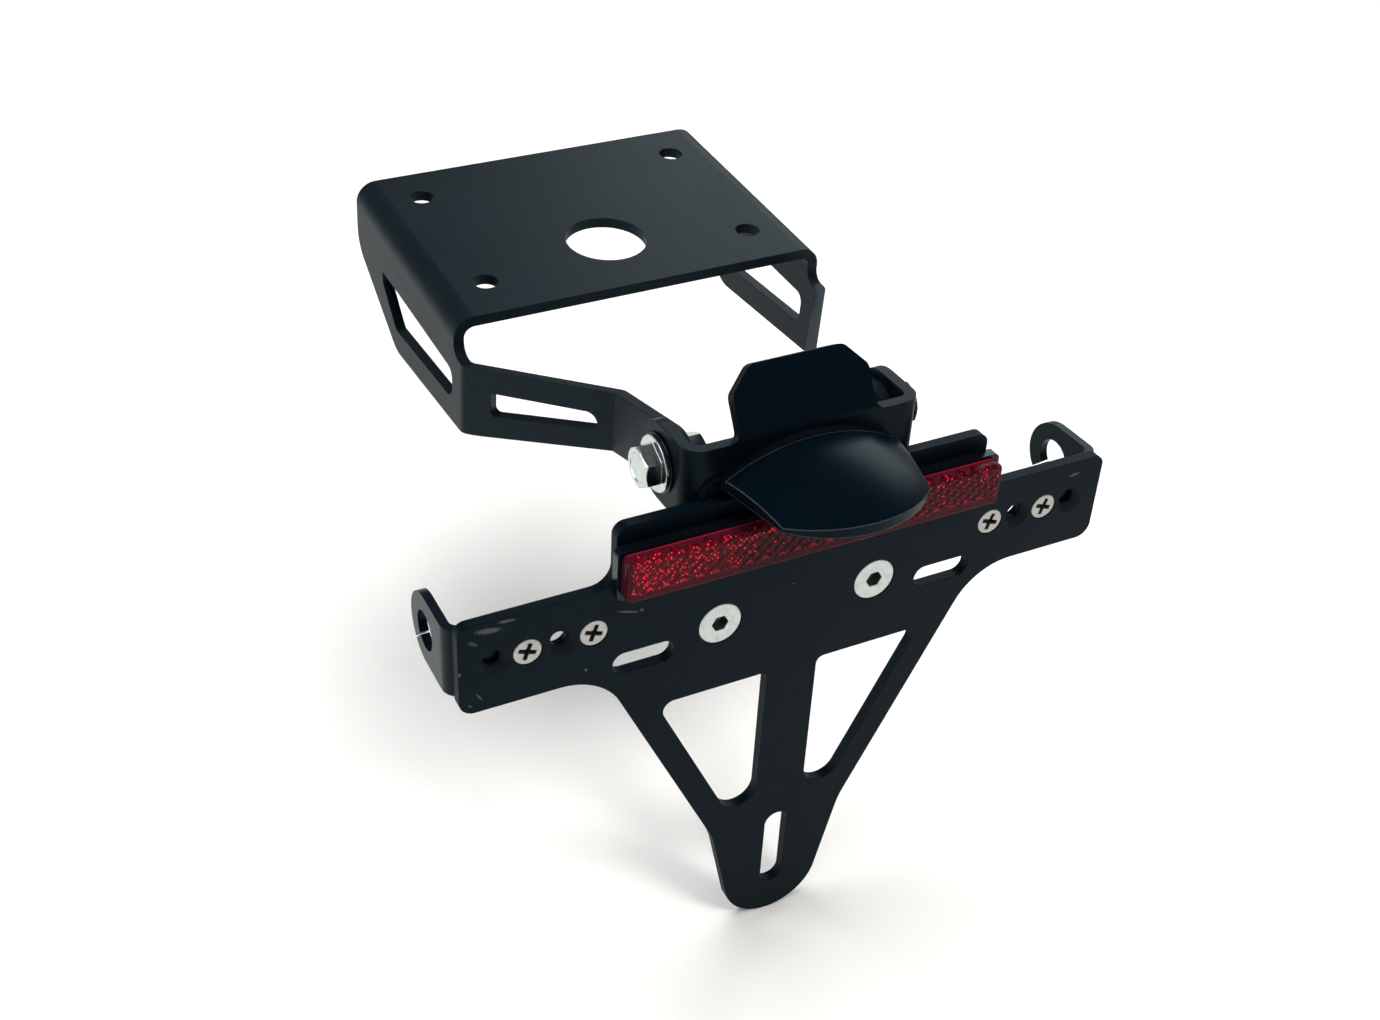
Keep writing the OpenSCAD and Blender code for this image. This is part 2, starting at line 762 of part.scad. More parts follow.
module reflector_slab(back, front, inset, corner) {
    rear_view(back, front)
        rounded(mirrored([
            [reflector_width / 2 - inset, reflector_middle + reflector_height / 2 - inset, corner],
            [reflector_width / 2 - inset, reflector_middle - reflector_height / 2 + inset, corner]
        ]));
}

module reflector_pad() {
    color("dimgray")
    swing()
        reflector_slab(plate_front, pad_front, pad_inset, 1);
}

module reflector_base() {
    color(black)
    swing()
        reflector_slab(pad_front, reflector_base_front, 0, 1.6);
}

module reflector_lens() {
    edge = 0.6;
    root = reflector_rim + lens_taper / 2;
    color(red)
    swing() {
        reflector_slab(reflector_base_front, reflector_lens_front + edge, root, 1.4);
        reflector_slab(reflector_lens_front + edge, reflector_lens_front, root + lens_taper, 1.2);
    }
}

// Lamp

module lamp_gasket_outline() {
    intersection() {
        translate([0, lamp_top - gasket_radius]) circle(gasket_radius);
        translate([-lamp_half, lamp_underside]) square([lamp_width, lamp_top]);
    }
}

module lamp_gasket() {
    color(black)
    swing()
    difference() {
        rear_view(stem_front, gasket_front) lamp_gasket_outline();
        for (side = [LEFT, RIGHT])
            translate([side * stud_span / 2, 0, stud_height])
                bore(stem_front + over, gasket_front - over, stud_d / 2 + fit);
    }
}

// The lamp's outline from above, drawn in by a wall
module lamp_plan(inset) {
    intersection() {
        polygon([
            [-lamp_root_width / 2 + inset, gasket_front - inset],
            [-front_half + inset, gasket_front - lamp_corner_reach],
            [-front_half + inset, gasket_front - lamp_reach - over],
            [front_half - inset, gasket_front - lamp_reach - over],
            [front_half - inset, gasket_front - lamp_corner_reach],
            [lamp_root_width / 2 - inset, gasket_front - inset]
        ]);
        translate([0, gasket_front - lamp_reach + front_radius]) circle(front_radius - inset);
    }
}

// The roof: an arc across, turned about an axis far below the lamp
module lamp_roof(inset) {
    r_across = roof_radius_across - inset;
    r_along = roof_radius_along - inset;
    translate([0, gasket_front, roof_top - roof_radius_along])
        rotate([0, 90, 0])
            rotate_extrude()
                intersection() {
                    translate([r_along - r_across, 0]) circle(r_across);
                    translate([roof_radius_along / 2, -lamp_half]) square([roof_radius_along, lamp_width]);
                }
}

module lamp_housing() {
    color(black)
    swing()
    union() {
        difference() {
            intersection() {
                translate([0, 0, lamp_underside]) linear_extrude(lamp_top) lamp_plan(0);
                lamp_roof(0);
            }
            intersection() {
                translate([0, 0, lamp_underside - over]) linear_extrude(lamp_top) lamp_plan(lamp_wall);
                lamp_roof(lamp_wall);
            }
        }
        // Posts under the roof that the board is fixed to
        intersection() {
            for (side = [LEFT, RIGHT])
                translate([(side * board_size.x - post.x) / 2, board_middle - post.y / 2, board_top])
                    cube([post.x, post.y, lamp_top]);
            lamp_roof(lamp_wall / 2);
        }
        // Studs through the gasket and the bracket's face
        for (side = [LEFT, RIGHT])
            translate([side * stud_span / 2, 0, stud_height])
                bore(stem_back + stud_nut_height + screw_tail, gasket_front - lamp_wall / 2, stud_d / 2);
    }
}

module lamp_board() {
    color("ivory")
    swing()
    union() {
        translate([-board_size.x / 2 + fit, board_middle - board_size.y / 2, board_top - board_thickness])
            cube([board_size.x - 2 * fit, board_size.y, board_thickness]);
        for (i = [-1:1])
            translate([i * led_pitch - led.x / 2, board_middle - led.y / 2, board_top - board_thickness - led.z + over / 2])
                cube(led);
    }
}

module lamp_lens() {
    color([0.9, 0.9, 0.95, 0.5])
    swing()
        intersection() {
            translate([0, 0, lamp_underside]) linear_extrude(lamp_lens_thickness) lamp_plan(lamp_wall + fit);
            lamp_roof(lamp_wall + fit);
        }
}

// Fasteners

module hex_nut(flats, height, r) {
    difference() {
        intersection() {
            cylinder(h = height, d = across(flats), $fn = 6);
            translate([0, 0, -height]) cylinder(h = 2 * height, r1 = flats / 2 + 4 * height, r2 = flats / 2);
        }
        translate([0, 0, -over]) cylinder(h = height + 2 * over, r = r);
    }
}

// A hexagon bolt along x: the underside of its head is at x = 0 and it points to -x
module hex_bolt(d, flats, head, length) {
    rotate([0, 90, 0]) {
        translate([0, 0, -length]) cylinder(h = length + head / 2, d = d);
        intersection() {
            rotate([0, 0, head_turn]) cylinder(h = head, d = across(flats), $fn = 6);
            cylinder(h = head, r1 = flats / 2 + 2 * head, r2 = flats / 2);
        }
    }
}

module pivot_bolt() {
    stack = washer_thickness + centre_sheet + ear_gap + bracket_sheet + pivot_nut_height + bolt_tail;
    color(zinc)
    translate([ear_width / 2 + washer_thickness, pivot.y, pivot.z])
        hex_bolt(pivot_bolt_d, pivot_flats, pivot_head_height, stack);
}

module pivot_washer() {
    color(zinc)
    translate([ear_width / 2, pivot.y, pivot.z])
        rotate([0, 90, 0])
            difference() {
                cylinder(h = washer_thickness, d = washer_d);
                translate([0, 0, -over])
                    cylinder(h = washer_thickness + 2 * over, r = pivot_bolt_d / 2 + pivot_fit);
            }
}

module pivot_nut() {
    color(zinc)
    translate([lug_outer - bracket_sheet, pivot.y, pivot.z])
        rotate([0, -90, 0])
            hex_nut(pivot_flats, pivot_nut_height, pivot_bolt_d / 2 + pivot_fit);
}

// A countersunk screw along y, with its head's flat at the plate's front
module countersunk_screw(d, head, length) {
    translate([0, plate_front + head_sink, 0])
        rotate([-90, 0, 0]) {
            cylinder(h = length, d = d);
            cylinder(h = (head - d) / 2 - head_sink, r1 = head / 2 - head_sink, r2 = d / 2);
        }
}

module plate_screw(side) {
    length = plate_sheet + centre_sheet + plate_nut_height + screw_tail;
    color(zinc)
    swing()
    translate([side * plate_screw_span / 2, 0, -plate_screw_drop])
        difference() {
            countersunk_screw(plate_screw_d, plate_screw_head, length);
            translate([0, plate_front - over, 0])
                rotate([-90, 0, 0])
                    cylinder(h = over + socket_depth, d = across(plate_screw_d * 2 / 3), $fn = 6);
        }
}

module plate_nut(side) {
    color(zinc)
    swing()
    translate([side * plate_screw_span / 2, stem_back, -plate_screw_drop])
        rotate([-90, 0, 0])
            hex_nut(plate_nut_flats, plate_nut_height, plate_screw_d / 2 + fit);
}

module indicator_screw(side, x) {
    length = plate_sheet + indicator_sheet + small_nut_height + screw_tail;
    color(steel)
    swing()
    translate([side * x, 0, -row_drop])
        difference() {
            countersunk_screw(small_screw_d, small_screw_head, length);
            for (a = [0, 90])
                rotate([0, a + cross_turn, 0])
                    translate([-cross_length / 2, plate_front - over, -cross_width / 2])
                        cube([cross_length, over + cross_depth, cross_width]);
        }
}

module indicator_nut(side, x) {
    color(zinc)
    swing()
    translate([side * x, indicator_base_back, -row_drop])
        rotate([-90, 0, 0])
            hex_nut(small_nut_flats, small_nut_height, small_screw_d / 2 + fit);
}

module lamp_nut(side) {
    color(zinc)
    swing()
    translate([side * stud_span / 2, stem_back, stud_height])
        rotate([-90, 0, 0])
            hex_nut(stud_nut_flats, stud_nut_height, stud_d / 2 + fit);
}

mounting_bracket();
centre_bracket();
holder_plate();
indicator_bracket_left();
indicator_bracket_right();
reflector_pad();
reflector_base();
reflector_lens();
lamp_gasket();
lamp_housing();
lamp_board();
lamp_lens();
lamp_nut(LEFT);  // lamp_nut_left
lamp_nut(RIGHT);  // lamp_nut_right
mirror([1, 0, 0]) pivot_bolt();  // pivot_bolt_left
pivot_bolt();  // pivot_bolt_right
mirror([1, 0, 0]) pivot_washer();  // pivot_washer_left
pivot_washer();  // pivot_washer_right
mirror([1, 0, 0]) pivot_nut();  // pivot_nut_left
pivot_nut();  // pivot_nut_right
plate_screw(LEFT);  // plate_screw_left
plate_screw(RIGHT);  // plate_screw_right
plate_nut(LEFT);  // plate_nut_left
plate_nut(RIGHT);  // plate_nut_right
indicator_screw(LEFT, screwed[0]);  // indicator_screw_left_inner
indicator_screw(LEFT, screwed[1]);  // indicator_screw_left_outer
indicator_screw(RIGHT, screwed[0]);  // indicator_screw_right_inner
indicator_screw(RIGHT, screwed[1]);  // indicator_screw_right_outer
indicator_nut(LEFT, screwed[0]);  // indicator_nut_left_inner
indicator_nut(LEFT, screwed[1]);  // indicator_nut_left_outer
indicator_nut(RIGHT, screwed[0]);  // indicator_nut_right_inner
indicator_nut(RIGHT, screwed[1]);  // indicator_nut_right_outer
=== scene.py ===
"""Looks of the tail tidy: powder-coated sheet, plated fasteners, red reflector and the plate lamp.

Sizes are in millimetres up to the last step, which brings them to Blender's metres. The holder's pieces are
drawn in its own swinging frame, where the plate stands upright: the origin is on the pivot's axis, x runs to
the right, y back towards the bike and z up. Its front is the side that faces away from the bike.
"""
import json
import math
from functools import reduce

import bpy
import numpy as np
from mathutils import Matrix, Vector
from mathutils.geometry import delaunay_2d_cdt


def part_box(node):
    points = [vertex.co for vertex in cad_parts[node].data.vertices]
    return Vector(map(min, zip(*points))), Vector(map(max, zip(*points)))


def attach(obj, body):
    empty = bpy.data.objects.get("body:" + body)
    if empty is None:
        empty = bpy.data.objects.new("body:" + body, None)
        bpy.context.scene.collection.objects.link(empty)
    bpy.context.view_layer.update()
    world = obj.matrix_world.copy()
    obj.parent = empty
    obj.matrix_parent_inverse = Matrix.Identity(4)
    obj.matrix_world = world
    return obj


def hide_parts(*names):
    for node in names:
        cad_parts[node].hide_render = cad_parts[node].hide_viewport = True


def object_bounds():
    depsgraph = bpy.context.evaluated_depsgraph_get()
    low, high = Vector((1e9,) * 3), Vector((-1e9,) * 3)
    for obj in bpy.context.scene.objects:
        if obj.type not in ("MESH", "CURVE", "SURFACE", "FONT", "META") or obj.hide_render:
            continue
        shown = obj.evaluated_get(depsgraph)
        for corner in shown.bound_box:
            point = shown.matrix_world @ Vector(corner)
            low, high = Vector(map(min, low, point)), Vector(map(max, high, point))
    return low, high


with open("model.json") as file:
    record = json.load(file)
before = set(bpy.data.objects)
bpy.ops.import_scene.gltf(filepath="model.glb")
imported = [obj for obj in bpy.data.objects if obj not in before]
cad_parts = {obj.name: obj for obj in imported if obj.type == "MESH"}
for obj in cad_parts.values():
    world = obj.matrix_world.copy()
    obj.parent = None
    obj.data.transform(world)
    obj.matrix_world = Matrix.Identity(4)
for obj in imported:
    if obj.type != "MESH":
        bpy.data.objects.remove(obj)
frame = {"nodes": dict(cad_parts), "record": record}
nodes = frame["nodes"]
cad_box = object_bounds()

MM = 0.001
tilt_joint = frame["record"]["behaviour"]["joints"][0]
PIVOT = np.array(tilt_joint["pos_m"]) / MM
TILT = math.radians(4.35)

# Faces of the plate and of the centre bracket behind it
PLATE_FRONT = -17.4
PLATE_BACK = -14.4
CENTRE_FRONT = PLATE_BACK
CENTRE_BACK = -11.4

# Holes in them
PLATE_SCREW_Z = -39.77
INDICATOR_ROW_Z = -31.5
OPEN_CONES_X = (65.33, 82.39)
LAMP_STUD_X = 12.0
LAMP_STUD_Z = 4.6
LEAD_HOLE = (-24.85, -1.4)

# The reflector: half width and half height of its base, and the red lens inside the base's rim
REFLECTOR_TOP = -6.93
REFLECTOR_HALF = (52.9, 6.9)
LENS_MARGIN = 0.975
LENS_MIDDLE = REFLECTOR_TOP - REFLECTOR_HALF[1]
LENS_BACK = -21.06
LENS_FRONT = -24.66


# Materials

# The mix node's sockets for colours, by number, because its names repeat
MIX_SHARE = 0
MIX_FIRST = 6
MIX_SECOND = 7
MIX_RESULT = 2


class Graph:
    """A node material and its principled shader, with short ways to add nodes and join them."""

    def __init__(self, name):
        self.material = bpy.data.materials.new(name)
        self.material.use_nodes = True
        self.tree = self.material.node_tree
        self.shader = self.tree.nodes["Principled BSDF"]

    def feed(self, socket, value):
        """Joins a value to a socket, or sets the socket to a number, a vector or a colour of three parts."""
        if isinstance(value, Value):
            self.tree.links.new(value.socket, socket)
        elif socket.type == "RGBA":
            socket.default_value = (*value, 1.0)
        else:
            socket.default_value = value

    def add(self, kind, output, inputs, **settings):
        """Adds a node and gives the value of one of its outputs, or a list of them for several outputs."""
        node = self.tree.nodes.new(kind)
        for key, setting in settings.items():
            setattr(node, key, setting)
        for key, value in inputs.items():
            self.feed(node.inputs[key], value)
        if isinstance(output, list):
            return [Value(self, node.outputs[key]) for key in output]
        return Value(self, node.outputs[output])

    def place(self, swinging=False):
        """The object's own coordinates in metres, or those of the swinging frame."""
        own = self.add("ShaderNodeTexCoord", "Object", {})
        return self.mapped(own, PIVOT * MM, (-TILT, 0.0, 0.0)) if swinging else own

    def mapped(self, place, location, rotation, scale=(1.0, 1.0, 1.0)):
        """Coordinates in a frame that has an origin, a turn and unit lengths of its own."""
        inputs = {"Vector": place, "Location": location, "Rotation": rotation, "Scale": scale}
        return self.add("ShaderNodeMapping", "Vector", inputs, vector_type="TEXTURE")

    def noise(self, place, scale, detail, roughness):
        """A cloudy value about 0.5, with so many clouds to each unit of place."""
        inputs = {"Vector": place, "Scale": scale, "Detail": detail, "Roughness": roughness}
        return self.add("ShaderNodeTexNoise", "Fac", inputs)

    def soft_edges(self, radius):
        """A normal that turns smoothly over every edge within a radius in millimetres."""
        return self.add("ShaderNodeBevel", "Normal", {"Radius": radius * MM}, samples=4)

    def bump(self, height, strength, distance, normal=None):
        """A normal that follows a height from 0 to 1, which stands for a distance in millimetres."""
        inputs = {"Height": height, "Strength": strength, "Distance": distance * MM}
        if normal is not None:
            inputs["Normal"] = normal
        return self.add("ShaderNodeBump", "Normal", inputs)

    def shade(self, inputs):
        """Feeds the shader and gives the finished material."""
        for key, value in inputs.items():
            self.feed(self.shader.inputs[key], value)
        return self.material


class Value:
    """What a node puts out. A formula of values and numbers adds the nodes that work it out."""

    def __init__(self, graph, socket):
        self.graph = graph
        self.socket = socket

    def operate(self, operation, *terms):
        """One operation on values and numbers."""
        return self.graph.add("ShaderNodeMath", 0, dict(enumerate(terms)), operation=operation)

    def __add__(self, other):
        return self.operate("ADD", self, other)

    def __sub__(self, other):
        return self.operate("SUBTRACT", self, other)

    def __rsub__(self, other):
        return self.operate("SUBTRACT", other, self)

    def __mul__(self, other):
        return self.operate("MULTIPLY", self, other)

    def __abs__(self):
        return self.operate("ABSOLUTE", self)

    def root(self):
        """The square root."""
        return self.operate("SQRT", self)

    def sign(self):
        """1 above 0, and 0 at 0."""
        return self.operate("SIGN", self)

    def higher(self, other):
        """The greater of two values."""
        return self.operate("MAXIMUM", self, other)

    def zigzag(self, top):
        """Climbs from 0 to top and goes back to 0, again and again, as the value grows."""
        return self.operate("PINGPONG", self, top)

    def spread(self, low, high, start, end):
        """Low up to start, high from end on, and in a straight line between them."""
        inputs = {"Value": self, "From Min": start, "From Max": end, "To Min": low, "To Max": high}
        return self.graph.add("ShaderNodeMapRange", "Result", inputs)

    def step_up(self, start, end):
        """0 up to start, 1 from end on."""
        return self.spread(0.0, 1.0, start, end)

    def blend(self, first, second):
        """The first colour, and the second one where the value is 1."""
        inputs = {MIX_SHARE: self, MIX_FIRST: first, MIX_SECOND: second}
        return self.graph.add("ShaderNodeMix", MIX_RESULT, inputs, data_type="RGBA")

    def ramp(self, *stops):
        """The colour at the value on a ramp between two stops, each a position and a colour."""
        colour = self.graph.add("ShaderNodeValToRGB", "Color", {"Fac": self})
        for element, (position, tint) in zip(colour.socket.node.color_ramp.elements, stops):
            element.position = position
            element.color = (*tint, 1.0)
        return colour


# Wear on the plate's front: middle (x, z), half length and half width, turn in degrees and how sound it is
WEAR = [
    ((-83.6, -22.0), (6.4, 1.7), 8.0, 0.56),
    ((-87.5, -24.6), (3.4, 1.2), 35.0, 0.6),
    ((-79.0, -20.6), (4.6, 1.0), 4.0, 0.57),
    ((82.4, -23.6), (3.6, 1.1), -6.0, 0.57),
    ((-48.0, -27.8), (3.4, 0.32), 18.2, 0.38),
    ((-44.3, -28.4), (0.5, 0.42), 0.0, 0.3),
    ((-90.9, -32.7), (0.3, 0.5), 0.0, 0.25),
    ((-58.8, -42.1), (0.4, 0.4), 0.0, 0.25),
    ((-86.2, -41.0), (2.2, 0.35), 58.0, 0.5),
    ((-88.6, -43.0), (1.2, 0.3), 40.0, 0.5),
    ((-2.0, -33.5), (0.5, 0.2), 20.0, 0.42),
]
WEAR_DEPTH = 0.6
WEAR_EDGES = (0.16, 0.24)
WEAR_COLOUR = (0.095, 0.1, 0.098)

# An open countersunk hole's cone: its radius, where it starts and ends behind the plate's front, and its
# colour, a painted reflection that makes the cone paler
CONE_RADIUS = 3.9
CONE_START = 0.03
CONE_END = 2.0
CONE_PAINTED_REFLECTION = (0.0105, 0.0135, 0.0155)

COAT_REFLECTION = (0.48, 0.84, 1.0)


def wear_mask(graph, place):
    """Where the coat is scuffed: a coarse grain inside each worn patch, fading to its edge."""
    shares = []
    for (x, z), (half_length, half_width), turn, sound in WEAR:
        middle = (x * MM, PLATE_FRONT * MM, z * MM)
        reach = (half_length * MM, WEAR_DEPTH * MM, half_width * MM)
        patch = graph.mapped(place, middle, (0.0, math.radians(turn), 0.0), reach)
        grain = graph.noise(patch, scale=11.0, detail=8.0, roughness=0.85)
        from_middle = graph.add("ShaderNodeVectorMath", "Value", {0: patch}, operation="LENGTH")
        inside = from_middle.spread(1.0, 0.0, start=0.3, end=1.0)
        plate_marks = (inside * 0.3 + grain) * inside.sign()
        shares.append(plate_marks.step_up(*(sound + edge for edge in WEAR_EDGES)))
    return reduce(Value.higher, shares)


def open_cone_mask(graph, place):
    """Where the plate's open countersunk holes are: near the middle of one, and below the plate's front."""
    x, y, z = graph.add("ShaderNodeSeparateXYZ", ["X", "Y", "Z"], {0: place})
    up = z - INDICATOR_ROW_Z * MM
    near = []
    for middle in OPEN_CONES_X:
        across = abs(x) - middle * MM
        from_middle = (across * across + up * up).root()
        near.append(from_middle.step_up(CONE_RADIUS * MM, (CONE_RADIUS - 0.2) * MM))
    start = PLATE_FRONT + CONE_START
    end = PLATE_FRONT + CONE_END
    below = y.step_up(start * MM, (start + 0.09) * MM)
    shallow = y.step_up(end * MM, (end - 0.5) * MM)
    return reduce(Value.higher, near) * below * shallow


def powder_coat(name, dark, light, rough, gloss, edge=0.35, swinging=True, plate_marks=False, painted_edge_highlight=None):
    """Satin powder coat: a fine orange peel, small specks, slow drifts of gloss and softened edges.

    Edge is their radius in millimetres, and a painted edge highlight is a pale colour painted where they
    turn.
    With plate marks, the coat has the plate's scuffs and a painted reflection that makes its cones paler."""
    graph = Graph(name)
    place = graph.place(swinging)
    drift = graph.noise(place, scale=34.0, detail=4.0, roughness=0.6)
    peel = graph.noise(place, scale=900.0, detail=3.0, roughness=0.55)
    specks = graph.add("ShaderNodeTexVoronoi", "Distance", {"Vector": place, "Scale": 2600.0})
    soft_edge = graph.soft_edges(edge)
    peel_normal = graph.bump(peel, strength=0.2, distance=0.09, normal=soft_edge)
    colour = drift.ramp((0.3, dark), (0.72, light))
    if plate_marks:
        # The open cones are painted paler: a painted reflection on their walls
        colour = open_cone_mask(graph, place).blend(colour, CONE_PAINTED_REFLECTION)
        colour = wear_mask(graph, place).blend(colour, WEAR_COLOUR)
    if painted_edge_highlight:
        # A painted highlight along the edges, where the softened normal turns away from the flat one
        flat = graph.add("ShaderNodeNewGeometry", "Normal", {})
        normals = {0: soft_edge, 1: flat}
        agreement = graph.add("ShaderNodeVectorMath", "Value", normals, operation="DOT_PRODUCT")
        colour = agreement.step_up(0.98, 0.9).blend(colour, painted_edge_highlight)
    return graph.shade({
        "Base Color": colour,
        "Roughness": (drift * 0.5 + peel * 0.5).spread(*rough, 0.25, 0.75),
        "Normal": graph.bump(specks, strength=0.1, distance=0.04, normal=peel_normal),
        "Specular IOR Level": gloss,
        "Specular Tint": COAT_REFLECTION,
    })


def plated(name, dark, light, rough, marks, metal=1.0):
    """Plated or bare metal: a cloudy colour and roughness, fine marks of a given scale and softened edges."""
    graph = Graph(name)
    place = graph.place()
    cloud = graph.noise(place, scale=520.0, detail=5.0, roughness=0.6)
    relief = graph.noise(place, scale=marks, detail=2.0, roughness=0.5)
    return graph.shade({
        "Base Color": cloud.ramp((0.28, dark), (0.7, light)),
        "Roughness": cloud.spread(*rough, 0.3, 0.7),
        "Normal": graph.bump(relief, strength=0.2, distance=0.02, normal=graph.soft_edges(0.22)),
        "Metallic": metal,
    })


# The reflector's prisms, measured from the lens's middle: ridges, with teeth below and scallops above
PRISM_PITCH = 2.2
TOOTH_PITCH = 2 * PRISM_PITCH
TOOTH_HEIGHT = 1.5
SCALLOP_HEIGHT = 1.7
TEETH_Z = -4.0
SCALLOPS_Z = 7.7
ROOF_SHARE = 0.63
FIELD_END = 51.0

# How the painted light changes along the bar (x), with a slow drift and up the bar (z), as (low, high, start,
# end)
NEED_ALONG = (0.25, 0.95, -52.0, -10.0)
NEED_BY_DRIFT = (0.35, -0.35, 0.3, 0.7)
NEED_UP = (0.3, -0.14, -4.0, 4.5)
ROWS_ALONG = (0.0, 0.4, 12.0, 30.0)
TEETH_ALONG = (0.75, 0.22, -49.0, -28.0)
LIGHT_ALONG = (1.0, 0.0, -54.0, -8.0)

RIM_RED = (0.05, 0.0055, 0.0105)
RIM_LINE_RED = (0.3, 0.008, 0.03)
SHADED_RED = (0.046, 0.0018, 0.007)
LIT_RED = (0.115, 0.003, 0.0095)
RULED_RED = (0.115, 0.0045, 0.0165)
# Painted glints: their colour, and the glow they give though the reflector is no lamp
PAINTED_GLINT_RED = (0.74, 0.024, 0.04)
PAINTED_GLOW_RED = (0.78, 0.012, 0.02)
NO_GLOW = (0.0, 0.0, 0.0)


def reflector_red(name):
    """Red prisms under a clear skin: ruled ridges, teeth along the lower edge, scallops above, painted glints
    that glow, and painted light, lit at the left end and shaded to the right.

    A height goes on over the lens's roof: z plus a share of the depth behind the lens's front."""
    graph = Graph(name)
    own = graph.place(swinging=True)
    place = graph.add("ShaderNodeVectorMath", "Vector", {0: own, "Scale": 1.0 / MM}, operation="SCALE")
    x, y, up = graph.add("ShaderNodeSeparateXYZ", ["X", "Y", "Z"], {0: place})
    z = up - LENS_MIDDLE
    height = z + (y - LENS_FRONT) * ROOF_SHARE

    def ridge(along_x, along_z, pitch):
        """A triangle wave across slanted lines: 0 on a ridge and 1 in a valley."""
        way = x * (along_x / pitch) + z * (along_z / pitch)
        return way.zigzag(0.5) * 2.0

    # The field of prisms, and the outline of its teeth
    tooth = ridge(1.0, 0.0, TOOTH_PITCH) * TOOTH_HEIGHT
    over_tooth = (z - TEETH_Z) - tooth
    under_scallop = (SCALLOPS_Z - height) - ridge(1.0, 0.0, TOOTH_PITCH) * SCALLOP_HEIGHT
    within_ends = abs(x).step_up(FIELD_END, FIELD_END - 0.3)
    field = over_tooth.step_up(-0.12, 0.12) * under_scallop.step_up(-0.15, 0.5) * within_ends
    teeth = abs(over_tooth).step_up(0.5, 0.1) * within_ends * tooth.step_up(0.7, 1.3)

    # Painted glints and glow in place of facets that send light back: each cell of a fine honeycomb is
    # painted bright or not, fewer to the right and below
    honeycomb = graph.mapped(place, (0.0, 0.0, 0.0), (0.0, math.radians(-42.0), 0.0), (0.95, 1.0, 0.55))
    inputs = {"Vector": honeycomb, "Scale": 1.0, "Randomness": 0.85}
    cell_colour, from_cell = graph.add("ShaderNodeTexVoronoi", ["Color", "Distance"], inputs)
    chance = graph.add("ShaderNodeSeparateColor", "Red", {"Color": cell_colour})
    drift = graph.noise(place, scale=0.35, detail=2.0, roughness=0.5)
    need = x.spread(*NEED_ALONG) + drift.spread(*NEED_BY_DRIFT) + z.spread(*NEED_UP)
    cells = (chance - need).step_up(0.0, 0.05) * from_cell.step_up(0.42, 0.2) * field

    # Fainter rows of small painted glints towards the right end
    rows = ridge(1.0, 0.25, 1.85).step_up(0.3, 0.1) * ridge(-0.3, 1.0, 1.6).step_up(0.3, 0.1)
    rows = rows * x.spread(*ROWS_ALONG) * field
    # All the painted glints: honeycomb cells, rows, and the teeth towards the left
    painted_glints = cells.higher(rows).higher(teeth * x.spread(*TEETH_ALONG))

    # Ruled ridges over a painted light, lit at the left end and shaded towards the right, and a bright line
    # along the rim's upper edge
    rising = ridge(0.68, -0.73, PRISM_PITCH)
    falling = ridge(0.68, 0.73, PRISM_PITCH)
    upright = ridge(1.0, 0.0, PRISM_PITCH)
    lines = rising.step_up(0.26, 0.06).higher(falling.step_up(0.14, 0.04) * 0.15)
    rim = height.step_up(SCALLOPS_Z + 0.15, SCALLOPS_Z + 0.35).blend(RIM_RED, RIM_LINE_RED)
    lit_to_shaded_red = x.spread(*LIGHT_ALONG).blend(SHADED_RED, LIT_RED)
    ruled = (lines * field * 0.75).blend(field.blend(rim, lit_to_shaded_red), RULED_RED)
    return graph.shade({
        # The painted glints brighten the colour and glow, though the reflector is no lamp
        "Base Color": painted_glints.blend(ruled, PAINTED_GLINT_RED),
        "Emission Color": painted_glints.blend(NO_GLOW, PAINTED_GLOW_RED),
        "Emission Strength": 0.72,
        "Normal": graph.bump((rising + falling + upright) * field, strength=0.8, distance=0.6),
        "Roughness": drift.spread(0.22, 0.36, 0.3, 0.7),
        "Specular IOR Level": 0.03,
        "Coat Weight": 0.16,
        "Coat Roughness": 0.05,
    })


BLACK = (0.0013, 0.0034, 0.006)
PALER_BLACK = (0.0022, 0.0048, 0.0082)

black_coat = powder_coat(
    "black_coat", (0.0036, 0.0074, 0.0102), (0.006, 0.0106, 0.0142), rough=(0.34, 0.46), gloss=0.165,
    swinging=False)
plate_coat = powder_coat(
    "plate_coat", (0.0010, 0.0034, 0.0060), (0.0022, 0.0052, 0.0086), rough=(0.4, 0.52), gloss=0.128,
    plate_marks=True)
bracket_coat = powder_coat("bracket_coat", BLACK, PALER_BLACK, rough=(0.27, 0.38), gloss=0.12)
indicator_coat = powder_coat("indicator_coat", BLACK, PALER_BLACK, rough=(0.24, 0.34), gloss=0.2)
foam_black = powder_coat(
    "foam_black", (0.003, 0.0035, 0.0045), (0.009, 0.0095, 0.011), rough=(0.85, 0.98), gloss=0.1, edge=0.2)
base_plastic = powder_coat(
    "base_plastic", (0.0015, 0.0025, 0.004), (0.003, 0.0042, 0.006), rough=(0.12, 0.2), gloss=0.45, edge=0.25)
rubber = powder_coat(
    "rubber", (0.0012, 0.0022, 0.0036), (0.0024, 0.0038, 0.0056), rough=(0.55, 0.7), gloss=0.1)
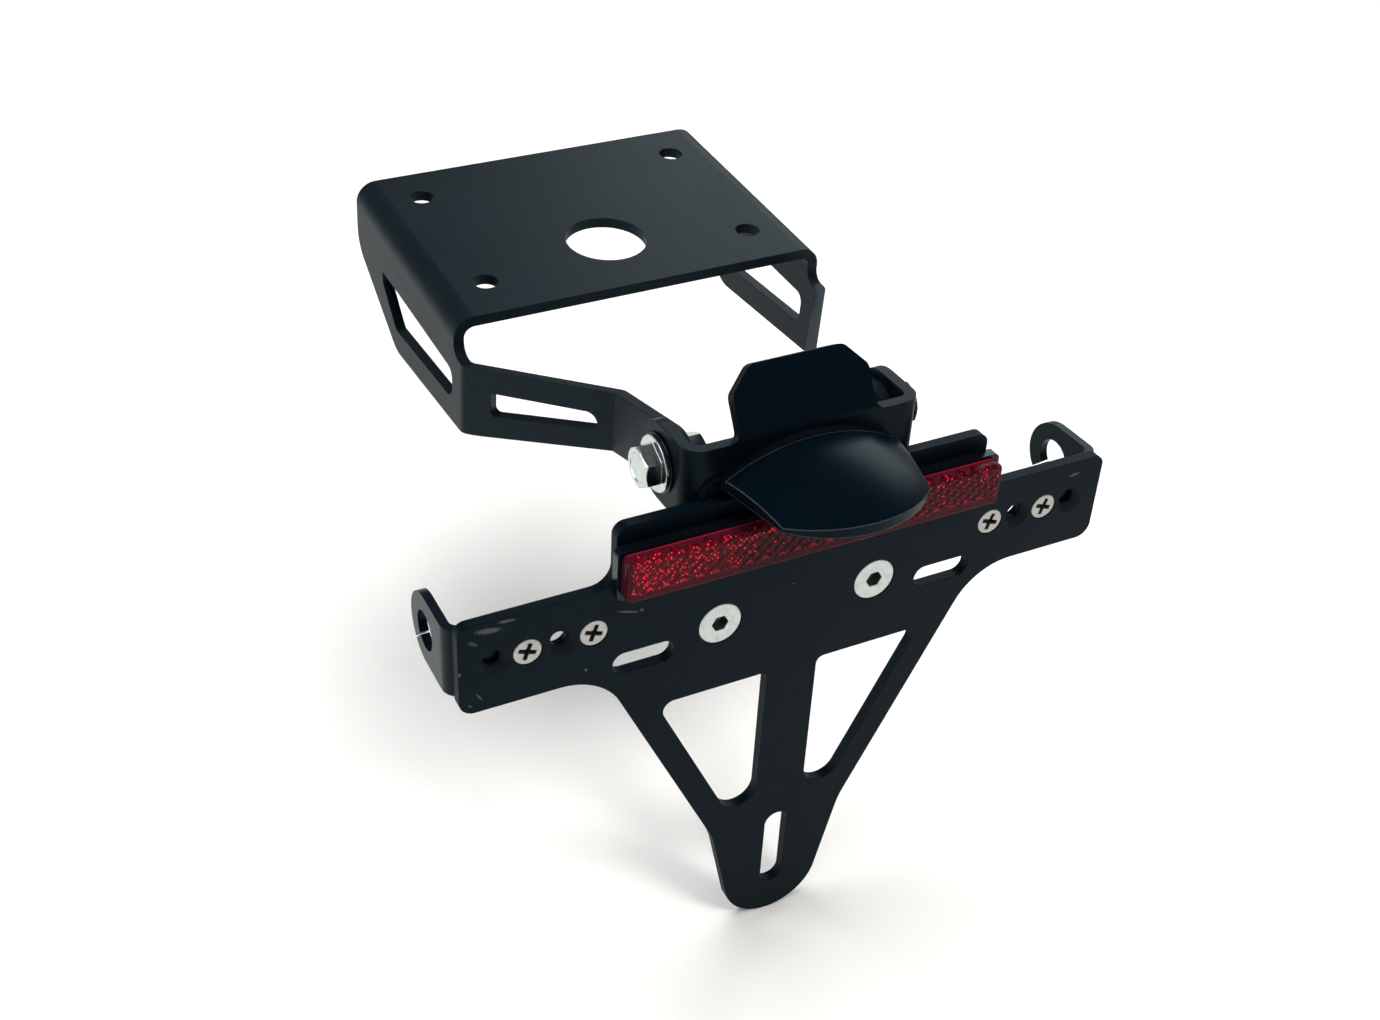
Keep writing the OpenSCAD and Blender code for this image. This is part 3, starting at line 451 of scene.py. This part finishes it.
# The lamp's edges carry a painted highlight
lamp_plastic = powder_coat(
    "lamp_plastic", (0.0004, 0.0024, 0.005), (0.0008, 0.0034, 0.0066), rough=(0.26, 0.32), gloss=0.15,
    edge=0.45, painted_edge_highlight=(0.1, 0.11, 0.12))
board_white = powder_coat(
    "board_white", (0.62, 0.6, 0.52), (0.74, 0.72, 0.64), rough=(0.4, 0.55), gloss=0.5, edge=0.1)
clear_lens = powder_coat("clear_lens", (0.7, 0.72, 0.74), (0.85, 0.86, 0.88), rough=(0.12, 0.2), gloss=0.5)
red_lens = reflector_red("red_lens")
zinc_plate = plated("zinc_plate", (0.68, 0.74, 0.71), (0.88, 0.93, 0.9), rough=(0.14, 0.22), marks=2400.0)
zinc_satin = plated(
    "zinc_satin", (0.6, 0.66, 0.63), (0.84, 0.88, 0.84), rough=(0.3, 0.42), marks=2000.0, metal=0.8)
# Painted shade, with some dirt, for the hollows of the screws' recesses
recess_shade_and_dirt = plated(
    "recess_shade_and_dirt", (0.1, 0.1, 0.1), (0.3, 0.31, 0.3), rough=(0.3, 0.45), marks=2000.0, metal=0.9)
stainless = plated(
    "stainless", (0.44, 0.43, 0.4), (0.64, 0.63, 0.59), rough=(0.26, 0.4), marks=2000.0, metal=0.8)

FINISH = {
    "mounting_bracket": black_coat,
    "centre_bracket": bracket_coat,
    "holder_plate": plate_coat,
    "indicator_bracket_left": indicator_coat,
    "indicator_bracket_right": indicator_coat,
    "reflector_pad": foam_black,
    "reflector_base": base_plastic,
    "reflector_lens": red_lens,
    "lamp_gasket": rubber,
    "lamp_housing": lamp_plastic,
    "lamp_board": board_white,
    "lamp_lens": clear_lens,
}


def finish_for(name):
    """The material of a solid, by its name. Those that aren't in the list are fasteners."""
    if name in FINISH:
        return FINISH[name]
    if name.startswith("indicator_screw"):
        return stainless
    return zinc_satin if name.startswith("plate_") else zinc_plate


def dress(thing, material):
    """Gives a mesh one material."""
    thing.data.materials.clear()
    thing.data.materials.append(material)


for name, thing in nodes.items():
    slots = thing.data.materials
    if len(slots) == 0:
        slots.append(finish_for(name))
    for index in range(len(slots)):
        slots[index] = finish_for(name)


# Building meshes

def swung(points):
    """Carries points in millimetres from the swinging frame to the part's: turned by the tilt and moved."""
    x, y, z = np.moveaxis(np.asarray(points, dtype=float), -1, 0)
    leaning_y = y * math.cos(TILT) + z * math.sin(TILT)
    leaning_z = z * math.cos(TILT) - y * math.sin(TILT)
    return (np.stack([x, leaning_y, leaning_z], axis=-1) + PIVOT) * MM


def add_piece(name, points, faces, material, body):
    """A mesh of points in metres and faces, with its material, riding on a body."""
    mesh = bpy.data.meshes.new(name)
    mesh.from_pydata(points.reshape(-1, 3).tolist(), [], faces)
    mesh.update()
    thing = bpy.data.objects.new(name, mesh)
    bpy.context.scene.collection.objects.link(thing)
    dress(thing, material)
    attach(thing, body)
    return thing


# Points on a rounded corner
CORNER_POINTS = 7


def round_rectangle(half_width, half_height, radius):
    """The outline of a rectangle, anticlockwise. Each corner is an arc: centre + radius (cos a, sin a)."""
    corner = np.repeat(np.arange(4), CORNER_POINTS)
    angle = np.tile(np.linspace(0.0, math.pi / 2, CORNER_POINTS), 4) + corner * math.pi / 2
    centre_x = np.where((corner == 0) | (corner == 3), 1.0, -1.0) * (half_width - radius)
    centre_y = np.where(corner < 2, 1.0, -1.0) * (half_height - radius)
    return np.stack([centre_x + radius * np.cos(angle), centre_y + radius * np.sin(angle)], axis=-1)


def ring_faces(rings, around, closed=False):
    """Quads between successive rings, then a cap on the first and the last unless the rings close up."""
    index = np.arange(rings * around).reshape(rings, around)
    a = index if closed else index[:-1]
    b = np.roll(index, -1, 0) if closed else index[1:]
    quads = np.stack([a, b, np.roll(b, -1, 1), np.roll(a, -1, 1)], axis=-1).reshape(-1, 4)
    caps = [] if closed else [index[0].tolist(), index[-1][::-1].tolist()]
    return [*quads.tolist(), *caps]


# The lens's side as (inset, distance behind the front): a rounded front edge, then straight to the base
LENS_PROFILE = [(1.0, 0.0), (0.8, 0.02), (0.55, 0.1), (0.34, 0.24), (0.16, 0.46), (0.05, 0.74), (0.0, 1.1),
                (0.0, LENS_BACK - LENS_FRONT)]
LENS_CORNER = 1.6
LEAST_CORNER = 0.5


def make_reflector_lens():
    """A slab of red plastic: at each depth a rounded rectangle, drawn in by the inset of its profile."""
    half_width, half_height = (half - LENS_MARGIN for half in REFLECTOR_HALF)
    rings = []
    for inset, depth in LENS_PROFILE:
        corner = max(LENS_CORNER - inset, LEAST_CORNER)
        x, z = round_rectangle(half_width - inset, half_height - inset, corner).T
        rings.append(np.stack([x, np.full(len(x), LENS_FRONT + depth), z + LENS_MIDDLE], axis=-1))
    points = np.array(rings)
    faces = ring_faces(len(rings), points.shape[1])
    lens_cover = add_piece("reflector_lens_cover", swung(points), faces, red_lens, "holder")
    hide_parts("reflector_lens")


# Indicator brackets: one strip of sheet, drawn flat and then folded round a bend

# The sheet and its bend, the plate side's run and the flange's up to its hole, and the slit out of the hole
SHEET = 2.3
OUTER_FACE = 92.8
BEND = 4.3
FOLD = math.radians(91.0)
BRACKET_BACK = PLATE_BACK + SHEET
STRIP_START = 52.3
STRIP_CORNER = 3.0
BASE_RUN = OUTER_FACE - BEND - STRIP_START
FLANGE_RUN = 10.7
HOLE_RADIUS = 5.15
HOLE_Z = {"left": -32.2, "right": -31.2}
END_RADIUS = 9.8
SLIT_HALF = 0.25
SLIT_DEGREES = -45.0

# Holes for the screws and the open one between them, as (run, radius)
SCREW_HOLES = [(4.5, 2.05), (13.03, 3.3), (21.56, 2.05)]

# Points on the strip's arcs, lines across its bend, and lengths too small to matter
HOLE_POINTS = 64
END_POINTS = 36
SHORT_END_POINTS = 13
SCREW_HOLE_POINTS = 36
BEND_LINES = 13
WELD = 1e-5
HAIR = 0.01


def arc(centre, radius, start, end, count):
    """Points on a circle between two angles in degrees."""
    angle = np.radians(np.linspace(start, end, count))
    return np.stack([centre[0] + radius * np.cos(angle), centre[1] + radius * np.sin(angle)], axis=-1)


def strip_loops(hole, low, high):
    """The flat strip's outline, which runs in through the slit, round the hole and out, and its screw holes.

    A slit of half width w meets a circle of radius r at the angle asin(w / r) on each side of its own."""
    outer_gap = math.degrees(math.asin(SLIT_HALF / END_RADIUS))
    inner_gap = math.degrees(math.asin(SLIT_HALF / HOLE_RADIUS))
    outline = np.concatenate([
        arc((STRIP_CORNER, low + STRIP_CORNER), STRIP_CORNER, 180.0, 270.0, CORNER_POINTS),
        arc(hole, END_RADIUS, -90.0, SLIT_DEGREES - outer_gap, SHORT_END_POINTS),
        arc(hole, HOLE_RADIUS, SLIT_DEGREES - inner_gap, SLIT_DEGREES + inner_gap - 360.0, HOLE_POINTS),
        arc(hole, END_RADIUS, SLIT_DEGREES + outer_gap, 90.0, END_POINTS),
        arc((STRIP_CORNER, high - STRIP_CORNER), STRIP_CORNER, 90.0, 180.0, CORNER_POINTS),
    ])
    last = 360.0 - 360.0 / SCREW_HOLE_POINTS
    row = [arc((run, INDICATOR_ROW_Z), radius, 0.0, last, SCREW_HOLE_POINTS) for run, radius in SCREW_HOLES]
    return [outline, *row]


def flat_strip(hole_z):
    """Points and triangles of the strip laid flat, (run, z), with an edge across it at each step of the bend.

    Triangles whose middle lies in a hole or in the slit are left out."""
    hole = np.array([BASE_RUN + BEND * FOLD + FLANGE_RUN, hole_z])
    low = hole_z - END_RADIUS
    high = hole_z + END_RADIUS
    points = []
    edges = []
    for loop in strip_loops(hole, low, high):
        first = len(points)
        points += loop.tolist()
        edges += [(first + k, first + (k + 1) % len(loop)) for k in range(len(loop))]
    for angle in np.linspace(0.0, FOLD, BEND_LINES):
        run = BASE_RUN + BEND * angle
        edges.append((len(points), len(points) + 1))
        points += [[run, low], [run, high]]
    found = delaunay_2d_cdt([Vector(point) for point in points], edges, [], 0, WELD)
    points = np.array([tuple(point) for point in found[0]])
    triangles = np.array([list(face) for face in found[2]])
    middle = points[triangles].mean(axis=1)
    run, rise = (middle - hole).T
    slit = math.radians(SLIT_DEGREES)
    along = run * math.cos(slit) + rise * math.sin(slit)
    across = rise * math.cos(slit) - run * math.sin(slit)
    in_slit = (along > 0.0) & (np.abs(across) < SLIT_HALF)
    solid = (np.hypot(run, rise) > HOLE_RADIUS - HAIR) & ~in_slit
    for screw_run, radius in SCREW_HOLES:
        solid &= np.hypot(middle[:, 0] - screw_run, middle[:, 1] - INDICATOR_ROW_Z) > radius - HAIR
    return points, triangles[solid]


def folded(points, depth):
    """Points of the flat strip on the folded one, at a depth in the sheet from its outer face.

    They lie along the plate up to BASE_RUN, then at a radius of BEND - depth round the bend by the angle
    (run - BASE_RUN) / BEND, and beyond FOLD straight on towards the bike."""
    run, z = points.T
    turn = np.clip((run - BASE_RUN) / BEND, 0.0, FOLD)
    beyond = np.maximum(run - BASE_RUN - BEND * FOLD, 0.0)
    reach = BEND - depth
    x = STRIP_START + np.minimum(run, BASE_RUN) + reach * np.sin(turn) + beyond * math.cos(FOLD)
    y = PLATE_BACK + BEND - reach * np.cos(turn) + beyond * math.sin(FOLD)
    return np.stack([x, y, z], axis=-1)


def make_indicator_bracket(side, word):
    """Both faces of the folded strip, and walls along every edge that has a triangle on one side only."""
    flat, triangles = flat_strip(HOLE_Z[word])
    corners = np.concatenate([triangles[:, [0, 1]], triangles[:, [1, 2]], triangles[:, [2, 0]]])
    count = len(flat)
    key = corners.min(axis=1) * count + corners.max(axis=1)
    keys, uses = np.unique(key, return_counts=True)
    a, b = corners[np.isin(key, keys[uses == 1])].T
    walls = np.stack([b, a, a + count, b + count], axis=-1)
    faces = triangles.tolist() + (triangles[:, ::-1] + count).tolist() + walls.tolist()
    points = np.concatenate([folded(flat, 0.0), folded(flat, SHEET)])
    if side < 0:
        points[:, 0] *= -1.0
        faces = [face[::-1] for face in faces]
    bracket = add_piece("indicator_bracket_%s_folded" % word, swung(points), faces, indicator_coat, "holder")
    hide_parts("indicator_bracket_" + word)


# Fasteners: rings round an axis, each a radius and a height that may change with the angle

AROUND = 96
ANGLES = np.arange(AROUND) * 2 * math.pi / AROUND
CHAMFER = math.tan(math.radians(30.0))
FACE_SHARE = 0.485
THREAD_STEPS = 6
TINY = 1e-6

# Threads, hexagons across their flats, and nuts as (flats, height, bore radius)
M6_RADIUS = 3.0
M6_BORE = 3.05
M6_FLATS = 10.0
M4_RADIUS = 2.0
M6_NUT = (M6_FLATS, 5.0, M6_BORE)
M4_NUT = (7.0, 3.2, 2.05)

# The pivot bolt's head, its shank up to the thread and its turn, then the washer and the dark ring under its
# head
BOLT_HEAD = 4.2
BOLT_SHANK = 9.0
BOLT_TURN = math.radians(53.0)
WASHER = 1.6
DARK_RING = 0.6

# How far the countersunk heads lie in the plate, and the turn of their cross recesses
HEAD_SUNK = 0.1
CROSS_TURN = math.radians(-20.0)


def hexagon(flats):
    """Distance from the axis to a hexagon's side: half the flats over the cosine to the nearest flat."""
    return flats / 2 / np.cos(np.mod(ANGLES, math.pi / 3) - math.pi / 6)


def cross_recess(length, width):
    """Distance to the edge of two crossed bars at each angle, the farther of the two bars."""
    cosine = np.abs(np.cos(ANGLES)) + TINY
    sine = np.abs(np.sin(ANGLES)) + TINY
    bar = np.minimum(length / 2 / cosine, width / 2 / sine)
    crossed = np.minimum(length / 2 / sine, width / 2 / cosine)
    return np.maximum(bar, crossed)


def chamfered_hexagon(flats, top, sign):
    """The ring where a hexagon meets the 30 degree cone from its face at top, down for sign 1, up for -1."""
    edge = hexagon(flats)
    return edge, top - sign * np.maximum(edge - FACE_SHARE * flats, 0.0) * CHAMFER


def thread_rings(radius, start, end, pitch, depth):
    """A screw thread from start down to end: the radius dips as a triangle wave of height and angle."""
    rings = []
    for height in np.arange(start, end, -pitch / THREAD_STEPS):
        phase = np.mod(height / pitch + ANGLES / (2 * math.pi), 1.0)
        rings.append((radius - depth * np.abs(2 * phase - 1), height))
    return rings


def turned(name, rings, place, material, body, closed=False, turn=0.0, flip=False, recess=0):
    """A piece of rings (radius, height) about an axis, put in its place by a function of a, b and height.

    Where it has a recess, that many of its first bands and the bottom take a darker metal: painted shade,
    with some dirt, in the recess."""
    points = []
    for radius, height in rings:
        radius = np.broadcast_to(np.asarray(radius, dtype=float), AROUND)
        height = np.broadcast_to(np.asarray(height, dtype=float), AROUND)
        ring = [radius * np.cos(ANGLES + turn), radius * np.sin(ANGLES + turn), height]
        points.append(np.stack(ring, axis=-1))
    points = np.array(points)
    faces = ring_faces(len(rings), AROUND, closed)
    if flip:
        faces = [face[::-1] for face in faces]
    piece = add_piece(name, place(points[..., 0], points[..., 1], points[..., 2]), faces, material, body)
    if recess:
        # The recess takes painted shade, with some dirt
        piece.data.materials.append(recess_shade_and_dirt)
        metal = np.zeros(len(faces), dtype=np.int32)
        metal[:recess * AROUND] = 1
        first_cap = -2
        metal[first_cap] = 1
        piece.data.polygons.foreach_set("material_index", metal)
    return piece


def outward(start, side):
    """Puts a piece on the pivot's axis, its height pointing away from the middle on that side."""
    return lambda a, b, h: (np.stack([side * (start + h), b, -a], axis=-1) + PIVOT) * MM


def inward(start, side):
    """Puts a piece on the pivot's axis, its height pointing to the middle."""
    return lambda a, b, h: (np.stack([side * (start - h), b, a], axis=-1) + PIVOT) * MM


def frontward(x, face, z):
    """Puts a piece in the swinging frame, its height pointing to the front."""
    return lambda a, b, h: swung(np.stack([x + a, face - h, z + b], axis=-1))


def rearward(x, face, z):
    """Puts a piece in the swinging frame, its height pointing to the back."""
    return lambda a, b, h: swung(np.stack([x + a, face + h, z - b], axis=-1))


def nut_rings(flats, height, bore):
    """A hexagon nut with chamfered corners and a countersunk bore at both ends."""
    edge, shoulder = chamfered_hexagon(flats, height, 1.0)
    foot_edge, foot = chamfered_hexagon(flats, 0.0, -1.0)
    face = FACE_SHARE * flats
    return [(bore, height - 0.4), (bore + 0.4, height), (face, height), (edge, shoulder),
            (foot_edge, foot), (face, 0.0), (bore + 0.4, 0.0), (bore, 0.4)]


def make_pivot_bolt(side, word):
    """A hexagon bolt with a dished head and a thread. Gives the place of its seat along the pivot's axis."""
    tail, head_top = sorted(abs(corner.x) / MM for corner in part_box("pivot_bolt_" + word))
    seat = head_top - BOLT_HEAD
    tip = tail - seat
    edge, shoulder = chamfered_hexagon(M6_FLATS, BOLT_HEAD, 1.0)
    rings = [(2.6, BOLT_HEAD - 0.25), (3.5, BOLT_HEAD - 0.2), (3.85, BOLT_HEAD),
             (FACE_SHARE * M6_FLATS, BOLT_HEAD), (edge, shoulder), (edge * 0.995, 0.25), (edge * 0.975, 0.0),
             (M6_RADIUS, 0.0), (M6_RADIUS, -BOLT_SHANK)]
    rings += thread_rings(M6_RADIUS, -BOLT_SHANK - 0.05, tip + 0.5, pitch=1.0, depth=0.3)
    rings += [(M6_RADIUS - 0.35, tip + 0.35), (M6_RADIUS - 0.75, tip)]
    bolt = turned("pivot_bolt_%s_turned" % word, rings, outward(seat, side), zinc_plate, "mount",
                  turn=BOLT_TURN, flip=side < 0)
    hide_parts("pivot_bolt_" + word)
    return seat


def make_pivot_washer(side, word, seat):
    """A plain washer with worn edges under the bolt's head, and a wider dark ring behind it: partly a thin
    black washer, partly painted shadow and reflection of the washer on the ear.
    """
    on_ear = outward(seat - WASHER, side)
    rings = [(M6_BORE, WASHER - 0.1), (M6_BORE + 0.15, WASHER), (6.95, WASHER), (7.15, 1.52), (7.25, 1.35),
             (7.25, 0.75), (7.1, DARK_RING), (M6_BORE, DARK_RING)]
    washer = turned("pivot_washer_%s_turned" % word, rings, on_ear, zinc_plate, "mount",
                    closed=True, flip=side < 0)
    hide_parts("pivot_washer_" + word)
    # The dark ring, wider than the washer: a thin black washer and painted shade of the washer on the ear
    rings = [(M6_BORE, DARK_RING), (7.35, DARK_RING), (7.6, 0.5), (7.7, 0.3), (7.6, 0.1), (7.4, 0.0), (M6_BORE, 0.0)]
    dark_ring = turned("pivot_dark_ring_" + word, rings, on_ear, base_plastic, "mount",
                   closed=True, flip=side < 0)


def make_pivot_nut(side, word):
    """The nut on the bolt's thread, against the inside of the arm's lug."""
    nut_face = max(abs(corner.x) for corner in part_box("pivot_nut_" + word)) / MM
    place = inward(nut_face, side)
    nut = turned("pivot_nut_%s_turned" % word, nut_rings(*M6_NUT), place, zinc_plate, "mount",
                 closed=True, flip=side < 0)
    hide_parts("pivot_nut_" + word)


def make_countersunk(node, z, radius, head_radius, length, pitch, recess, depth, material, turn=0.0):
    """A countersunk screw: its recess from the bottom up, the flat head, the cone, the shank and thread."""
    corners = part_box(node)
    x = (corners[0].x + corners[1].x) / 2 / MM
    top = head_radius - 0.1
    rings = [(recess * 0.25, -depth), (recess * 0.86, -depth * 0.8), (recess, -0.12), (recess + 0.12, 0.0),
             (top - 0.22, 0.0), (top, -0.14), (radius, radius - top - 0.1), (radius, 4.0 - length)]
    rings += thread_rings(radius, 3.95 - length, 0.45 - length, pitch, depth=0.22)
    rings += [(radius - 0.25, 0.3 - length), (radius - 0.55, -length)]
    place = frontward(x, PLATE_FRONT + HEAD_SUNK, z)
    screw = turned(node + "_turned", rings, place, material, "holder", turn=turn, recess=2)
    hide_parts(node)
    return x


def make_nut(node, x, z, face, size):
    """A nut on a face at the back of the holder."""
    nut = turned(node + "_turned", nut_rings(*size), rearward(x, face, z), zinc_plate, "holder", closed=True)
    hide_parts(node)


def make_plate_screw(word):
    """A socket screw of 6 mm on one side of the plate, and its nut behind the centre bracket."""
    x = make_countersunk(
        "plate_screw_" + word, PLATE_SCREW_Z, M6_RADIUS, head_radius=6.0, length=12.2, pitch=1.0,
        recess=hexagon(4.0), depth=3.4, material=zinc_satin)
    make_nut("plate_nut_" + word, x, PLATE_SCREW_Z, CENTRE_BACK, M6_NUT)


def make_indicator_screw(place):
    """A cross-recess screw of 4 mm through the plate and an indicator bracket, and its nut."""
    x = make_countersunk(
        "indicator_screw_" + place, INDICATOR_ROW_Z, M4_RADIUS, head_radius=3.75, length=10.3, pitch=0.7,
        recess=cross_recess(4.7, 1.15), depth=2.1, material=stainless,
        turn=CROSS_TURN)
    make_nut("indicator_nut_" + place, x, INDICATOR_ROW_Z, BRACKET_BACK, M4_NUT)


def make_lead_bush():
    """A black bush in the lead's hole: a rounded lip on both faces and a blind middle."""
    rings = [(0.9, 0.35), (1.7, 0.25), (2.2, 0.45), (2.7, 0.95), (3.3, 1.1), (3.9, 0.85), (4.1, 0.45),
             (4.0, 0.02), (2.95, 0.02), (2.95, -3.02), (3.9, -3.02), (3.9, -3.6), (3.0, -3.9), (1.0, -3.9)]
    place = frontward(LEAD_HOLE[0], CENTRE_FRONT, LEAD_HOLE[1])
    bush = turned("lead_bush", rings, place, rubber, "holder")


make_reflector_lens()
for side, word in ((-1, "left"), (1, "right")):
    bolt_seat = make_pivot_bolt(side, word)
    make_pivot_washer(side, word, bolt_seat)
    make_pivot_nut(side, word)
    make_indicator_bracket(side, word)
    make_plate_screw(word)
    make_nut("lamp_nut_" + word, side * LAMP_STUD_X, LAMP_STUD_Z, CENTRE_BACK, M4_NUT)
    for spot in ("inner", "outer"):
        make_indicator_screw("%s_%s" % (word, spot))
make_lead_bush()


# Stage, light and camera

# The floor in metres
FLOOR_SIDE = 3.0
FLOOR_NEAR = -2.5
FLOOR_FAR = 3.5
RISE_START = 1.6
FLOOR_STEPS = 61

# The picture in pixels: its width, its middle, where the camera's axis meets it, and the focal length
PICTURE_WIDTH = 1380.0
PICTURE_MIDDLE = (690.0, 510.0)
CAMERA_AXIS = (620.0, 512.0)
FOCAL_LENGTH = 1759.36

# The camera's sensor in millimetres, its place in metres, its turn in radians and what it sees from and to
SENSOR_WIDTH = 36.0
CAMERA_PLACE = (-0.1972547, -0.40483663, 0.25338994)
CAMERA_TURN = (0.89055588, -0.05685922, -0.44464126)
NEAREST = 0.01
FARTHEST = 50.0

# What the lights point at, in metres
HOLDER_MIDDLE = (0.0, -0.1, -0.05)


def floor_paint():
    """A pale matt paint with faint patches, dimmer in what the part reflects of it."""
    graph = Graph("pale_floor")
    patches = graph.noise(graph.place(), scale=2.2, detail=3.0, roughness=0.5)
    material = graph.shade({
        "Base Color": patches.ramp((0.3, (0.9, 0.885, 0.87)), (0.7, (0.94, 0.93, 0.92))),
        "Roughness": 0.6,
        "Specular IOR Level": 0.2,
    })
    paint = Value(graph, graph.shader.outputs["BSDF"])
    dim = graph.add("ShaderNodeBsdfDiffuse", "BSDF", {"Color": (0.62, 0.63, 0.62)})
    in_reflection = graph.add("ShaderNodeLightPath", "Is Glossy Ray", {})
    mixed = graph.add("ShaderNodeMixShader", "Shader", {"Fac": in_reflection, 1: paint, 2: dim})
    graph.feed(graph.tree.nodes["Material Output"].inputs["Surface"], mixed)
    return material


def make_floor(z):
    """A wide pale floor at height z, flat under the part and rising far behind it by (v - start)^2 / 2."""
    across = np.linspace(-FLOOR_SIDE, FLOOR_SIDE, FLOOR_STEPS)
    u, v = np.meshgrid(across, np.linspace(FLOOR_NEAR, FLOOR_FAR, FLOOR_STEPS), indexing="ij")
    rise = np.maximum(v - RISE_START, 0.0) ** 2 * 0.5
    points = np.stack([u, v, z + rise], axis=-1).reshape(-1, 3)
    index = np.arange(FLOOR_STEPS * FLOOR_STEPS).reshape(FLOOR_STEPS, FLOOR_STEPS)
    corners = [index[:-1, :-1], index[1:, :-1], index[1:, 1:], index[:-1, 1:]]
    faces = np.stack(corners, axis=-1).reshape(-1, 4)
    mesh = bpy.data.meshes.new("floor")
    mesh.from_pydata(points.tolist(), [], faces.tolist())
    mesh.polygons.foreach_set("use_smooth", np.ones(len(faces), dtype=bool))
    floor = bpy.data.objects.new("floor", mesh)
    bpy.context.scene.collection.objects.link(floor)
    dress(floor, floor_paint())


def area_light(name, place, aim, size, power, colour=(1.0, 1.0, 1.0), reflected=True):
    """A rectangular soft light at a place, turned to a point. One that isn't reflected only lights."""
    data = bpy.data.lights.new(name, "AREA")
    data.shape = "RECTANGLE"
    data.size = size[0]
    data.size_y = size[1]
    data.energy = power
    data.color = colour
    lamp = bpy.data.objects.new(name, data)
    lamp.location = place
    lamp.rotation_euler = (Vector(aim) - Vector(place)).to_track_quat("-Z", "Y").to_euler()
    lamp.visible_glossy = reflected
    bpy.context.scene.collection.objects.link(lamp)


def set_world(colour, strength):
    """An even light from all round."""
    world = bpy.data.worlds.new("studio")
    world.use_nodes = True
    background = world.node_tree.nodes["Background"]
    background.inputs["Color"].default_value = (*colour, 1.0)
    background.inputs["Strength"].default_value = strength
    bpy.context.scene.world = world


def set_camera():
    """The photograph's viewpoint, worked out from the part's measured points."""
    data = bpy.data.cameras.new("camera")
    data.sensor_fit = "HORIZONTAL"
    data.sensor_width = SENSOR_WIDTH
    data.lens = FOCAL_LENGTH / PICTURE_WIDTH * SENSOR_WIDTH
    data.shift_x = (PICTURE_MIDDLE[0] - CAMERA_AXIS[0]) / PICTURE_WIDTH
    data.shift_y = (CAMERA_AXIS[1] - PICTURE_MIDDLE[1]) / PICTURE_WIDTH
    data.clip_start = NEAREST
    data.clip_end = FARTHEST
    camera = bpy.data.objects.new("camera", data)
    camera.location = CAMERA_PLACE
    camera.rotation_euler = CAMERA_TURN
    bpy.context.scene.collection.objects.link(camera)
    bpy.context.scene.camera = camera


set_camera()
bpy.context.scene.view_settings.view_transform = "Standard"
set_world(colour=(0.86, 0.96, 1.0), strength=0.1)
make_floor(cad_box[0].z)
area_light(
    "overhead", (-0.1, 0.1, 1.6), aim=(0.0, -0.1, -0.15), size=(1.2, 1.2), power=30.0,
    colour=(1.0, 0.99, 0.97), reflected=False)
area_light(
    "front_key", (0.45, -1.15, 1.25), aim=(0.0, 0.0, -0.1), size=(0.45, 0.45), power=13.0,
    colour=(1.0, 0.985, 0.96), reflected=False)
area_light(
    "window", (1.2, 1.1, 0.75), aim=HOLDER_MIDDLE, size=(1.3, 0.9), power=7.0, colour=(0.93, 0.98, 1.0))
area_light("left_panel", (-1.5, 0.3, 0.35), aim=HOLDER_MIDDLE, size=(1.0, 1.2), power=8.5)
